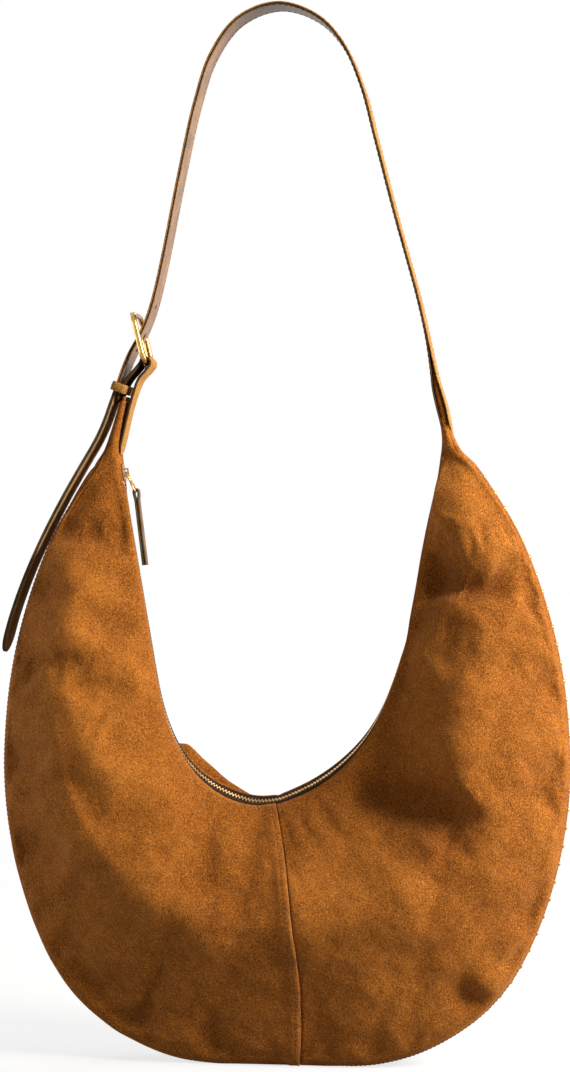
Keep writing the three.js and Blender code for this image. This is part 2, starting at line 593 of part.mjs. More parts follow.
const PRONG_REST = WIRE + PRONG_WIRE + 0.25;
const buckleOut = new THREE.Vector3(-buckleUp.z, 0, buckleUp.x);
function prong() {
  const eyeRadius = WIRE + PRONG_WIRE + 0.3;
  const eye = new THREE.TorusGeometry(eyeRadius, PRONG_WIRE, 6, 12).rotateX(Math.PI / 2).translate(BAR.x, 0, BAR.z);
  const at = (up, out) => BAR.clone().addScaledVector(buckleUp, up).addScaledVector(buckleOut, out);
  const shank = rod([at(eyeRadius, 0), at(10, 0.3), at(26, 1.6), at(BUCKLE_LENGTH - 3, PRONG_REST),
    at(BUCKLE_LENGTH + 3.4, PRONG_REST + 0.2)], PRONG_WIRE, 2, 8);
  return joined(eye, shank);
}
add("buckle_prong", prong(), brass);

export default bag;
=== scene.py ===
"""A crescent hobo bag in suede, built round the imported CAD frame: sculpted suede panels, a studded edge band, a curved
top zip, and a strap that is sewn to the right horn and buckled to the left one. Lengths here are in millimetres, and
become metres when a mesh is made."""

import math

import bpy
import numpy as np
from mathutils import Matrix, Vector
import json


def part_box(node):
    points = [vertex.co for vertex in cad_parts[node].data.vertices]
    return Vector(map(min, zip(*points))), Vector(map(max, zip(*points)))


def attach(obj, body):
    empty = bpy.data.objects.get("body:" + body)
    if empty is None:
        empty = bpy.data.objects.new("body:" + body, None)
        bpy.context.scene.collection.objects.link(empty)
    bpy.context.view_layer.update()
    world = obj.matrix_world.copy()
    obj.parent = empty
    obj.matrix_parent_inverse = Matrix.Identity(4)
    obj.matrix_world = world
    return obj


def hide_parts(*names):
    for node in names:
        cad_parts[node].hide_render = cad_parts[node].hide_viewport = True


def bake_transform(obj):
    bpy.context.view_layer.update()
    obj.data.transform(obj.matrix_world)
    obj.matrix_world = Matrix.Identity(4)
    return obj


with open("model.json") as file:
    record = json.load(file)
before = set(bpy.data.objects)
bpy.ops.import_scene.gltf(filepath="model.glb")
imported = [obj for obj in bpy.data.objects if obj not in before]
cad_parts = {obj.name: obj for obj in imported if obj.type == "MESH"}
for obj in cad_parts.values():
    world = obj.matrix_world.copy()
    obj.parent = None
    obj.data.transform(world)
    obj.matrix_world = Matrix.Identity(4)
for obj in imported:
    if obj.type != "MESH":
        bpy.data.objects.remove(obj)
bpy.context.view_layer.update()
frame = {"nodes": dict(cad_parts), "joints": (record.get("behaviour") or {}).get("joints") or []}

MM = 0.001

# ---- Driving dimensions ----------------------------------------------------------------------------------------

SUEDE = 1.4
TAPE_DEPTH = 1.2  # of the zip's middle plane below the rim
RIM_HALF = (8.0, 10.0)  # half the width of the opening, at a horn and at the middle
EDGE_HALF = (13.0, 17.0)  # half the width of the edge band, at a horn and at the middle
NECK_HALF = 11.5  # half the depth of a neck's inner face
BELLY = 41.0
RIM_TILT = 0.28
STRAP_HALF = 15.0
PLY = 1.15
PLY_CLOSER = 0.33  # how much nearer the plies lie than the centres of the thicker CAD plies
STUD_PITCH = 17.5
STUD_RADIUS = 2.3
FRONT, BACK = -1, 1

NECK_T = 0.075  # how far the panels run on into a neck, as a share of the way round
NECK_LINES = 6
HORN_Z = 448.0
STATIONS = 440  # grid lines round a side, necks included
ROWS = 96  # grid rows from the zip to the edge band


def smoothstep(x, start, end):
    q = np.clip((x - start) / (end - start), 0, 1)
    return q * q * (3 - 2 * q)


def lerp(a, b, q):
    return a + (b - a) * q


# ---- Lines read off the frame ----------------------------------------------------------------------------------


def node_points(*names):
    """The corners of CAD nodes."""
    found = []
    for name in names:
        mesh = frame["nodes"][name].data
        flat = np.zeros(len(mesh.vertices) * 3, np.float32)
        mesh.vertices.foreach_get("co", flat)
        found.append(flat.reshape(-1, 3).astype(float) * 1000)
    return np.concatenate(found)


def middle_line(names, reach, centre, up, least_y):
    """The line down the middle of a bent strip, as x and z. The strip's corners within reach of each other stand for
    one place, and the places are put in order by their angle about a centre, from the left."""
    points = node_points(*names)
    points = np.unique(points[np.abs(points[:, 1]) > least_y][:, [0, 2]].round(2), axis=0)
    turn = np.arctan2(points[:, 0] - centre[0], up * (points[:, 1] - centre[1]))
    points = points[np.argsort(turn)]
    line = []
    while len(points):
        near = np.hypot(*(points - points[0]).T) < reach
        line.append(points[near].mean(axis=0))
        points = points[~near]
    return np.array(line)


class Line:
    """A smooth line through points of the middle plane. It is read by distance, or by the values given in at."""

    def __init__(self, points, at=None):
        self.points = np.asarray(points, float)
        if at is None:
            steps = np.hypot(*np.diff(self.points, axis=0).T)
            at = np.concatenate([[0], np.cumsum(steps)])
        self.at = np.asarray(at, float)
        self.length = self.at[-1]
        self.slope = np.gradient(self.points, self.at, axis=0)

    def locate(self, q):
        q = np.asarray(q, float)
        i = np.clip(np.searchsorted(self.at, q, side="right") - 1, 0, len(self.at) - 2)
        width = self.at[i + 1] - self.at[i]
        return i, ((q - self.at[i]) / width)[..., None], width[..., None]

    def point(self, q):
        i, u, width = self.locate(q)
        start, end = self.points[i], self.points[i + 1]
        out, into = self.slope[i] * width, self.slope[i + 1] * width
        return (
            (2 * u**3 - 3 * u**2 + 1) * start
            + (u**3 - 2 * u**2 + u) * out
            + (3 * u**2 - 2 * u**3) * end
            + (u**3 - u**2) * into
        )

    def direction(self, q):
        step = (self.at[-1] - self.at[0]) * 1e-4
        ahead = self.point(np.asarray(q, float) + step) - self.point(np.asarray(q, float) - step)
        return ahead / np.linalg.norm(ahead, axis=-1, keepdims=True)

    def left(self, q):
        along = self.direction(q)
        return np.stack([-along[..., 1], along[..., 0]], axis=-1)

    def shifted(self, distance):
        """The same line moved to its left."""
        return Line(self.points + self.left(self.at) * distance, self.at)


def neck_faces(name):
    """A CAD neck's two faces, as x at a height: the one nearer the middle of the bag, and the outer one."""
    points = node_points(name)
    foot_z, top_z = points[:, 2].min(), points[:, 2].max()
    top = points[points[:, 2] > top_z - 0.1][:, 0]
    side = np.sign(top.mean())
    foot_outer = side * np.abs(points[:, 0]).max()
    top_outer = side * np.abs(top).max()
    top_inner = side * np.abs(top).min()
    foot_inner = foot_outer - side * 9.4
    share = lambda z: (z - foot_z) / (top_z - foot_z)
    return (
        lambda z: lerp(foot_inner, top_inner, share(z)),
        lambda z: lerp(foot_outer, top_outer, share(z)),
        top_z,
    )


def with_necks(line, at, which):
    """A rail with the necks' faces added at both ends. which is 0 for the inner faces and 1 for the outer ones."""
    at = list(at)
    points = [tuple(p) for p in line]
    for name, first in (("neck_left", True), ("neck_right", False)):
        faces = neck_faces(name)
        horn = points[0] if first else points[-1]
        off = horn[0] - faces[which](HORN_Z)
        for k in range(1, NECK_LINES + 1):
            z = lerp(HORN_Z, faces[2] - 0.5, k / NECK_LINES)
            ease = math.exp(-(z - HORN_Z) / 9)
            place = (faces[which](z) + off * ease, z)
            t = NECK_T * k / NECK_LINES
            if first:
                points.insert(0, place)
                at.insert(0, -t)
            else:
                points.append(place)
                at.append(1 + t)
    return Line(points, at)


GRID_LINES = np.arange(41) / 40
zip_corners = middle_line(("zip_teeth_front", "zip_teeth_back"), 5.5, (0, 490), -1, 0)
zip_at = np.concatenate([[0.008], GRID_LINES[1:-1], [0.988]])
zip_bare = Line(zip_corners, zip_at)
rim = with_necks(zip_bare.shifted(TAPE_DEPTH).points, zip_at, 0)

band_corners = middle_line(("edge_band_left", "edge_band_right"), 3, (0, 250), -1, 5)
outline = with_necks(Line(band_corners, GRID_LINES).shifted(-SUEDE / 2).points, GRID_LINES, 1)


# ---- The body's surface ----------------------------------------------------------------------------------------


def arch(t):
    return np.sin(np.pi * np.clip(t, 0, 1))


def in_neck(t):
    """0 in the body and 1 well inside a neck."""
    return smoothstep(-t, 0, 0.03) + smoothstep(t - 1, 0, 0.03)


def rim_half(t):
    return lerp(lerp(RIM_HALF[0], RIM_HALF[1], arch(t)), NECK_HALF, in_neck(t))


def edge_half(t):
    return lerp(EDGE_HALF[0], EDGE_HALF[1], arch(t)) - 0.5 * in_neck(t)


# The crest of the belly: its share of the way from the zip to the edge, and how hollow the leather is above it. It
# lies past the middle on the left, and close under the zip on the right, where the leather stands up steeply.
CREST_T = (-0.075, 0, 0.06, 0.16, 0.27, 0.36, 0.43, 0.5, 0.58, 0.65, 0.71, 0.77, 0.83, 0.88, 0.93, 1, 1.075)
FRONT_CREST = (0.5, 0.5, 0.55, 0.58, 0.56, 0.46, 0.43, 0.44, 0.45, 0.43, 0.38, 0.32, 0.28, 0.27, 0.32, 0.42, 0.5)
FRONT_HOLLOW = (1, 1, 0.7, 0.45, 0.45, 0.6, 0.75, 0.85, 1.1, 1.4, 1.7, 1.7, 1.6, 1.4, 1.2, 1, 1)
FRONT_FALL = (0.62, 0.62, 0.7, 1, 1.3, 1.3, 1.15, 1, 0.9, 0.8, 0.75, 0.7, 0.7, 0.7, 0.7, 0.65, 0.62)
BACK_CREST = (0.5, 0.5, 0.48, 0.46, 0.46, 0.46, 0.46, 0.47, 0.48, 0.5, 0.52, 0.55, 0.55, 0.54, 0.52, 0.5, 0.5)
BACK_HOLLOW = (1, 1, 1.1, 1.1, 1, 1, 1, 1, 1, 1, 0.9, 0.9, 0.9, 1, 1, 1, 1)


def along_t(values, t):
    return Line(np.stack([values, values], axis=1), CREST_T).point(t)[..., 0]


def belly(side, t, s):
    """Two soft slopes that meet at the crest: 0 at both seams and about 1 at the crest."""
    crest = along_t(FRONT_CREST if side == FRONT else BACK_CREST, t)
    hollow = along_t(FRONT_HOLLOW if side == FRONT else BACK_HOLLOW, t)
    rise = np.clip(s / crest, 0, None) ** hollow
    beyond = np.clip((s - crest) / (1 - crest), 0, 1)
    steep = (1 - beyond) ** (along_t(FRONT_FALL, t) if side == FRONT else 0.62)
    round_out = 1 - beyond**1.9
    fall = lerp(steep, round_out, smoothstep(t, 0.6, 0.72) if side == FRONT else 0.0)
    sharp = 5.5
    return -np.log(np.exp(-sharp * rise) + np.exp(-sharp * fall)) / sharp * 1.06


def rim_tilt(t):
    return RIM_TILT * smoothstep(t, 0.26, 0.46) * (1 - smoothstep(t, 0.56, 0.78))


def lip(side, t):
    """How far a side's rim stands up past the zip. The front rim hides the zip on the left and shows it on the right."""
    left = smoothstep(t, 0.01, 0.05) * (1 - smoothstep(t, 0.34, 0.44))
    right = smoothstep(t, 0.48, 0.56) * (1 - smoothstep(t, 0.74, 0.82))
    return (2.0 * left - 1.5 * right) if side == FRONT else (0.2 * right - 1.3 * left)


def back_hump(side, t, s):
    """The back of the bag rises in a soft hump behind the zip, left of the middle."""
    if side == FRONT:
        return 0
    width = lerp(0.034, 0.08, smoothstep(t, 0.37, 0.41))
    across = np.exp(-(((t - 0.385) / width) ** 2))
    return 22 * across * smoothstep(s, 0, 0.065) * (1 - smoothstep(s, 0.07, 0.5))


def smooth_body(side, t, s):
    """The stuffed shape without its folds. s is 0 at the zip and 1 at the edge band."""
    rim_place = rim.point(t) + rim.left(t) * lip(side, t)[..., None]
    x, z = np.moveaxis(lerp(rim_place, outline.point(t), s[..., None]), -1, 0)
    stuffed = arch(t) ** 0.75 * (1 - np.exp(-arch(t) / 0.05))
    half = lerp(rim_half(t), edge_half(t), s) + BELLY * stuffed * np.maximum(0, belly(side, t, s))
    y = side * (half + 1.6 * in_neck(t) * np.sin(np.pi * s))
    z = z + rim_tilt(t) * y * (1 - s) ** 2 + back_hump(side, t, s)
    return np.stack([x, y, z], axis=-1)


def normals_of(points, side):
    """Unit normals of a grid of points, pointing out of the bag."""
    along = np.gradient(points, axis=0)
    across = np.gradient(points, axis=1)
    normal = np.cross(along, across)
    normal /= np.linalg.norm(normal, axis=-1, keepdims=True) + 1e-9
    middle = normal[len(normal) // 2, normal.shape[1] // 2]
    return normal * np.sign(middle[1] * side)


# ---- Folds -----------------------------------------------------------------------------------------------------


def fold(x, z, path, height, right, left, radius=4.0, ends=(0.25, 0.25)):
    """A crest (or a valley, if height is negative) along a path in the front view. Its flanks fall off over the two
    widths, to the right and left of someone who walks the path, and its top is rounded to a radius."""
    line = Line(path)
    steps = np.linspace(0, line.length, 48)
    nodes = line.point(steps)
    place = np.stack([x, z], axis=-1)[..., None, :]
    ahead = nodes[1:] - nodes[:-1]
    size = (ahead**2).sum(-1)
    u = np.clip(((place - nodes[:-1]) * ahead).sum(-1) / size, 0, 1)
    away = place - (nodes[:-1] + u[..., None] * ahead)
    distance = np.hypot(away[..., 0], away[..., 1])
    nearest = distance.argmin(-1)
    pick = lambda a: np.take_along_axis(a, nearest[..., None], -1)[..., 0]
    d = pick(distance)
    turn = pick(ahead[:, 0] * away[..., 1] - ahead[:, 1] * away[..., 0])
    share = (nearest + pick(u)) / (len(nodes) - 1)
    side = smoothstep(turn / (np.hypot(*ahead.T)[nearest] + 1e-9), -radius, radius)
    width = lerp(right, left, side)
    reach = np.sqrt(d**2 + radius**2) - radius
    fade = smoothstep(share, 0, ends[0] + 1e-6) * (1 - smoothstep(share, 1 - ends[1] - 1e-6, 1))
    return height * fade * np.exp(-((reach / width) ** 1.25))


# Each fold: its path as x and z, its height, the widths of its right and left flanks, and its crest's radius.
FRONT_FOLDS = [
    ([(-160, 410), (-157, 316), (-152, 248), (-126, 203), (-91, 151), (-50, 120), (-20, 112)], 8, 17, 32, 6),
    ([(-35, 112), (0, 112), (45, 112), (88, 116), (118, 145)], 6.5, 16, 30, 6),
    ([(104, 338), (110, 300), (106, 262), (113, 232), (120, 212), (128, 198)], 5, 18, 34, 10),
    ([(138, 196), (105, 192), (80, 196), (39, 205)], -9, 18, 12, 5),
    ([(132, 202), (124, 180), (110, 158)], -8, 11, 10, 4),
    ([(104, 452), (112, 432), (130, 404), (152, 374), (170, 360)], 9, 13, 34, 6),
    ([(94, 358), (116, 356), (146, 354), (178, 356)], -8.5, 6, 18, 3),
    ([(104, 345), (112, 338), (124, 330)], 4, 12, 12, 6),
    ([(-190, 402), (-166, 396), (-146, 394), (-130, 396)], -6, 6, 12, 3),
    ([(-48, 202), (-58, 176), (-60, 150), (-56, 118)], -5, 16, 7, 2.5),
    ([(-28, 196), (-44, 186), (-62, 190)], 2, 10, 14, 5),
    ([(-144, 16), (-113, 28), (-88, 42)], -7, 5, 8, 1.6),
    ([(-126, 15), (-106, 24), (-84, 40)], 4, 7, 7, 3),
    ([(200, 40), (172, 35), (150, 41), (116, 60)], -5.5, 9, 5, 2),
    ([(180, 48), (160, 52), (136, 64)], 5, 9, 6, 3),
    ([(204, 122), (186, 112), (160, 114)], -3.5, 10, 5, 2.5),
    ([(-196, 150), (-182, 160), (-160, 150)], -4, 9, 9, 4),
    ([(-120, 330), (-112, 300), (-88, 268)], 3, 18, 14, 8),
]
BACK_FOLDS = [
    ([(-150, 400), (-158, 300), (-140, 220), (-96, 160), (-30, 122), (40, 116)], 7, 30, 40, 7),
    ([(20, 116), (80, 130), (124, 176), (144, 250), (140, 330), (130, 400)], 7, 30, 40, 7),
    ([(-40, 190), (-70, 166), (-104, 158)], -4, 12, 12, 4),
    ([(118, 352), (150, 348), (184, 356)], -4, 9, 12, 3),
    ([(-118, 350), (-146, 344), (-186, 350)], -4, 9, 12, 3),
    ([(130, 24), (112, 34), (94, 48)], -4, 7, 6, 2),
    ([(-150, 44), (-132, 52), (-114, 56)], -4, 7, 6, 2),
    ([(30, 190), (52, 170), (60, 140)], -3, 12, 12, 4),
]


def ripples(x, z, seed):
    """Shallow uneven waves of soft leather, about 1 mm high."""
    chance = np.random.default_rng(seed)
    total = np.zeros_like(x)
    for length, height in ((95, 1.2), (60, 0.75), (38, 0.5), (24, 0.3), (15, 0.18)):
        for _ in range(4):
            angle = chance.uniform(0, 2 * np.pi)
            phase = chance.uniform(0, 2 * np.pi)
            travel = (x * math.cos(angle) + z * math.sin(angle)) * 2 * np.pi / length
            total += height / 2 * np.sin(travel + phase + 0.8 * np.sin(travel * 0.37 + phase))
    return total


CAMERA_AZIMUTH = math.radians(7)
CAMERA_DISTANCE = 2000.0
CAMERA_HEIGHT = 394.0


def seen_from_front(points):
    """Where the camera sees points of the front, as x and z in the bag's middle plane."""
    x, y, z = np.moveaxis(points, -1, 0)
    nearer = x * math.sin(CAMERA_AZIMUTH) - y * math.cos(CAMERA_AZIMUTH)
    grow = CAMERA_DISTANCE / (CAMERA_DISTANCE - nearer)
    across = (x * math.cos(CAMERA_AZIMUTH) + y * math.sin(CAMERA_AZIMUTH)) * grow
    return across, CAMERA_HEIGHT + (z - CAMERA_HEIGHT) * grow


def fold_heights(side, points):
    if side == FRONT:
        x, z = seen_from_front(points)
        folds = FRONT_FOLDS
    else:
        x, z = points[..., 0], points[..., 2]
        folds = BACK_FOLDS
    total = np.zeros_like(x)
    for path, height, right, left, radius in folds:
        total += fold(x, z, path, height, right, left, radius)
    for _ in range(3):
        total[1:-1, 1:-1] = (total[:-2, 1:-1] + total[2:, 1:-1] + total[1:-1, :-2] + total[1:-1, 2:]) / 4
    return total + ripples(x, z, 11 if side == FRONT else 23)


SIM_COLUMNS = 220
SIM_ROWS = 48
SIM_FRAMES = 14
SIM_CAP = 2.4


def cloth_ripples(side, points, normals):
    """How far each grid point moves along its normal when the leather is let out a little as cloth, with all of its
    border held. The cloth has half as many grid lines each way, and the result is spread back over the full grid."""
    coarse = points[::2, ::2]
    columns, rows = coarse.shape[:2]
    index = np.arange(columns * rows).reshape(columns, rows)
    faces = np.stack([index[:-1, :-1], index[1:, :-1], index[1:, 1:], index[:-1, 1:]], axis=-1).reshape(-1, 4)
    mesh = bpy.data.meshes.new("cloth")
    mesh.from_pydata((coarse.reshape(-1, 3) * MM * 4).tolist(), [], faces.tolist())
    cloth = bpy.data.objects.new("cloth", mesh)
    bpy.context.scene.collection.objects.link(cloth)
    held = np.zeros((columns, rows), bool)
    held[:, :2] = held[:, -2:] = held[:26] = held[-26:] = True
    group = cloth.vertex_groups.new(name="held")
    group.add(index[held].tolist(), 1.0, "REPLACE")
    modifier = cloth.modifiers.new("cloth", "CLOTH")
    settings = modifier.settings
    settings.quality = 6
    settings.mass = 0.4
    settings.tension_stiffness = 25
    settings.compression_stiffness = 25
    settings.shear_stiffness = 12
    settings.bending_stiffness = 2.5
    settings.vertex_group_mass = "held"
    settings.shrink_min = -0.03
    settings.effector_weights.gravity = 0
    modifier.collision_settings.use_collision = False
    modifier.point_cache.frame_end = SIM_FRAMES
    for step in range(1, SIM_FRAMES + 1):
        bpy.context.scene.frame_set(step)
    settled = cloth.evaluated_get(bpy.context.evaluated_depsgraph_get()).data
    flat = np.zeros(columns * rows * 3, np.float32)
    settled.vertices.foreach_get("co", flat)
    moved = flat.reshape(columns, rows, 3).astype(float) / MM / 4 - coarse
    bpy.context.scene.frame_set(1)
    bpy.data.objects.remove(cloth)
    along = (moved * normals[::2, ::2]).sum(-1)
    along = SIM_CAP * np.tanh(along / SIM_CAP)
    fine = np.empty(points.shape[:2])
    fine[::2, ::2] = along
    fine[1::2, ::2] = (along[:-1] + along[1:]) / 2
    fine[:, 1::2] = (fine[:, :-1:2] + fine[:, 2::2]) / 2
    return fine


def sculpted(side):
    """A side's outer surface as a grid of points, its normals, and how far each point stands out of the smooth shape.
    The grid line in the middle is the centre seam, which bows to the right between the zip and the base."""
    t = np.linspace(-NECK_T, 1 + NECK_T, STATIONS + 1)[:, None]
    s = np.linspace(0, 1, ROWS + 1)[None, :]
    t, s = t + 0 * s, s + 0 * t
    bow = 0.012 if side == FRONT else 0.0
    t_warped = t + bow * np.sin(np.pi * s**0.8) * np.exp(-(((t - 0.5) / 0.12) ** 2))
    points = smooth_body(side, t_warped, s)
    normals = normals_of(points, side)
    held = smoothstep(s, 0, 0.12) * (1 - smoothstep(s, 0.93, 1)) * (1 - in_neck(t))
    height = fold_heights(side, points) * held
    points = points + normals * height[..., None]
    normals = normals_of(points, side)
    moved = cloth_ripples(side, points, normals) * held
    points += normals * moved[..., None]
    height = height + moved
    points[..., 2] = np.maximum(points[..., 2], 0.2)
    return points, normals_of(points, side), height


# ---- Meshes ----------------------------------------------------------------------------------------------------


def make_piece(name, points, faces, materials, slots=None, smooth=True):
    """A mesh object from points in millimetres. slots holds each face's material number."""
    mesh = bpy.data.meshes.new(name)
    mesh.from_pydata((np.asarray(points) * MM).tolist(), [], [tuple(map(int, f)) for f in faces])
    for material in materials:
        mesh.materials.append(material)
    if slots is not None:
        mesh.polygons.foreach_set("material_index", np.asarray(slots, np.int32))
    mesh.polygons.foreach_set("use_smooth", [smooth] * len(mesh.polygons))
    mesh.validate()
    piece = bpy.data.objects.new(name, mesh)
    bpy.context.scene.collection.objects.link(piece)
    return piece


def loft(sections, closed=False):
    """Points and faces of a solid swept through closed loops of equal length, facing out. Ends are capped unless the
    sweep closes on itself. Also gives each face's place round its loop, or -1 and -2 for the two caps."""
    sections = np.asarray(sections, float)
    count, around = sections.shape[:2]
    points = sections.reshape(-1, 3)
    last = count if closed else count - 1
    i = np.arange(last)[:, None]
    j = np.arange(around)[None, :]
    a = i * around + j
    b = i * around + (j + 1) % around
    c = ((i + 1) % count) * around + (j + 1) % around
    d = ((i + 1) % count) * around + j
    faces = np.stack([a, b, c, d], axis=-1).reshape(-1, 4)
    places = np.broadcast_to(j, a.shape).reshape(-1)
    if not closed:
        half = (around - 1) // 2
        k = np.arange(half)
        start = np.stack([k, around - 1 - k, around - 2 - k, k + 1], axis=-1)
        end = np.stack([k, k + 1, around - 2 - k, around - 1 - k], axis=-1) + (count - 1) * around
        faces = np.concatenate([faces, start, end])
        places = np.concatenate([places, np.full(half, -1), np.full(half, -2)])
    corners = points[faces]
    turned = np.cross(corners[:, 2] - corners[:, 0], corners[:, 3] - corners[:, 1])
    if (corners.mean(axis=1) * turned).sum() < 0:
        faces = faces[:, ::-1]
    return points, faces, places


def gather(parts):
    """Several solids as one list of points and faces."""
    points, faces, first = [], [], 0
    for part_points, part_faces in parts:
        points.append(part_points)
        faces.append(part_faces + first)
        first += len(part_points)
    return np.concatenate(points), np.concatenate(faces)


def solid(name, sections, materials, slot_of=None, closed=False, smooth=True):
    """A lofted piece. slot_of turns each face's place round its loop into a material number."""
    points, faces, places = loft(sections, closed)
    slots = None if slot_of is None else slot_of(places)
    return make_piece(name, points, faces, materials, slots, smooth)


def sheet_sections(outer, normals, thickness, depth=0.0, lip=0.5):
    """Loops round a sheet: over its outer face, round both long edges, and back along its inner face."""
    top = outer - normals * depth
    under = top - normals * thickness
    first = top[:, 0] - top[:, 1]
    first /= np.linalg.norm(first, axis=-1, keepdims=True)
    last = top[:, -1] - top[:, -2]
    last /= np.linalg.norm(last, axis=-1, keepdims=True)
    start = (top[:, 0] + under[:, 0]) / 2 + first * lip
    end = (top[:, -1] + under[:, -1]) / 2 + last * lip
    return np.concatenate([top, end[:, None], under[:, ::-1], start[:, None]], axis=1)


def rod_sections(path, radius, across=(0.0, 1.0, 0.0), closed=False, sides=12):
    """Loops of round rod along a path of points. The rod's frame keeps to the across direction."""
    path = np.asarray(path, float)
    if closed:
        ahead = np.roll(path, -1, axis=0) - np.roll(path, 1, axis=0)
    else:
        ahead = np.gradient(path, axis=0)
    ahead /= np.linalg.norm(ahead, axis=1, keepdims=True)
    one = np.cross(ahead, np.asarray(across, float))
    one /= np.linalg.norm(one, axis=1, keepdims=True)
    two = np.cross(ahead, one)
    angle = np.arange(sides) * 2 * np.pi / sides
    radius = np.broadcast_to(np.asarray(radius, float), (len(path),))[:, None, None]
    ring = np.cos(angle)[None, :, None] * one[:, None] + np.sin(angle)[None, :, None] * two[:, None]
    return path[:, None] + ring * radius


def stitches(name, places, directions, outs, material, length=2.6, radius=0.32):
    """A row of short threads that lie on a surface and dip into it at both ends."""
    along = np.array([-0.5, -0.32, 0, 0.32, 0.5]) * length
    lift = np.array([-0.55, 0.35, 0.6, 0.35, -0.55]) * radius
    thick = np.array([0.45, 0.9, 1, 0.9, 0.45]) * radius
    angle = np.arange(6) * np.pi / 3
    parts = []
    for place, ahead, out in zip(places, directions, outs):
        ahead = ahead / np.linalg.norm(ahead)
        aside = np.cross(ahead, out)
        aside /= np.linalg.norm(aside)
        up = np.cross(aside, ahead)
        centre = place + along[:, None] * ahead + lift[:, None] * up
        ring = np.cos(angle)[:, None] * aside + np.sin(angle)[:, None] * up
        points, faces, _ = loft(centre[:, None] + ring[None] * thick[:, None, None])
        parts.append((points, faces))
    points, faces = gather(parts)
    return make_piece(name, points, faces, [material])


# ---- Materials -------------------------------------------------------------------------------------------------


def rgb(red, green, blue):
    """A colour given as it looks on a screen, 0 to 255, as linear light."""
    channel = lambda v: v / 12.92 if v <= 0.04045 else ((v + 0.055) / 1.055) ** 2.4
    return (*[channel(v / 255) for v in (red, green, blue)], 1.0)


class Finish:
    """A material's node tree, with short calls that add nodes and give back their output."""

    def __init__(self, name):
        self.material = bpy.data.materials.new(name)
        self.material.use_nodes = True
        self.tree = self.material.node_tree
        self.shader = self.tree.nodes["Principled BSDF"]
        self.place = self.add("ShaderNodeTexCoord").outputs["Object"]

    def add(self, kind, inputs=None, **settings):
        node = self.tree.nodes.new(kind)
        for key, value in settings.items():
            setattr(node, key, value)
        for key, value in (inputs or {}).items():
            self.put(node.inputs[key], value)
        return node

    def put(self, socket, value):
        if isinstance(value, bpy.types.NodeSocket):
            self.tree.links.new(value, socket)
        else:
            socket.default_value = value

    def surface(self, **values):
        for key, value in values.items():
            self.put(self.shader.inputs[key.replace("_", " ")], value)
        return self.material

    def stretched(self, x, y, z):
        return self.add("ShaderNodeMapping", {"Vector": self.place, "Scale": (x, y, z)}).outputs["Vector"]

    def noise(self, size, detail=2.0, roughness=0.5, place=None, warp=0.0):
        """Noise whose patches are about size millimetres across."""
        inputs = {
            "Vector": place or self.place,
            "Scale": 1000 / size,
            "Detail": detail,
            "Roughness": roughness,
            "Distortion": warp,
        }
        return self.add("ShaderNodeTexNoise", inputs).outputs["Fac"]

    def math(self, kind, a, b=0.0):
        node = self.add("ShaderNodeMath", operation=kind)
        self.put(node.inputs[0], a)
        self.put(node.inputs[1], b)
        return node.outputs[0]

    def sum_of(self, *weighted):
        """The sum of outputs, each with its weight."""
        total = None
        for output, weight in weighted:
            term = self.math("MULTIPLY", output, weight)
            total = term if total is None else self.math("ADD", total, term)
        return total

    def ramp(self, value, *stops):
        node = self.add("ShaderNodeValToRGB", {"Fac": value})
        elements = node.color_ramp.elements
        while len(elements) < len(stops):
            elements.new(0.5)
        for element, (at, color) in zip(elements, stops):
            element.position = at
            element.color = color
        return node.outputs["Color"]

    def between(self, value, low, high):
        node = self.add("ShaderNodeMapRange", {"Value": value, "To Min": low, "To Max": high})
        return node.outputs["Result"]

    def mix(self, share, a, b):
        node = self.add("ShaderNodeMix", data_type="RGBA")
        for index, value in ((0, share), (6, a), (7, b)):
            self.put(node.inputs[index], value)
        return node.outputs[2]

    def bump(self, height, strength, distance):
        inputs = {"Height": height, "Strength": strength, "Distance": distance * MM}
        return self.add("ShaderNodeBump", inputs).outputs["Normal"]

    def attribute(self, name):
        return self.add("ShaderNodeAttribute", attribute_name=name).outputs["Fac"]


def suede(name, dark, middle, light, wear_and_shade=0.0, grain=1.05):
    """Napped leather: brushed patches, a speckled nap, lighter worn crests on folds, and painted shade darkening their
    valleys.
    """
    finish = Finish(name)
    patches = finish.noise(85, 3, 0.55, warp=0.4)
    brushed = finish.noise(26, 4, 0.6, warp=0.8)
    mottle = finish.noise(7, 3, 0.6)
    speckle = finish.noise(grain, 2, 0.6, warp=0.6)
    fibre = finish.noise(0.55, 2, 0.6)
    tone = finish.sum_of((patches, 0.14), (brushed, 0.16), (mottle, 0.14), (speckle, 1.05), (fibre, 0.4))
    tone = finish.math("SUBTRACT", tone, 0.445)
    # Fold crests are lightened as worn suede, and fold valleys are darkened as painted shade, by the fold heights
    # stored on each panel.
    if wear_and_shade:
        tone = finish.math("ADD", tone, finish.math("MULTIPLY", finish.attribute("rubbed_and_shaded"), wear_and_shade))
    color = finish.ramp(tone, (0.26, dark), (0.5, middle), (0.76, light))
    height = finish.sum_of((speckle, 0.8), (fibre, 0.25), (mottle, 0.5))
    return finish.surface(
        Base_Color=color,
        Roughness=finish.between(speckle, 0.82, 0.98),
        Specular_IOR_Level=0.18,
        Sheen_Weight=0.25,
        Sheen_Roughness=0.45,
        Sheen_Tint=rgb(255, 190, 120),
        Normal=finish.bump(height, 0.85, 1.2),
    )


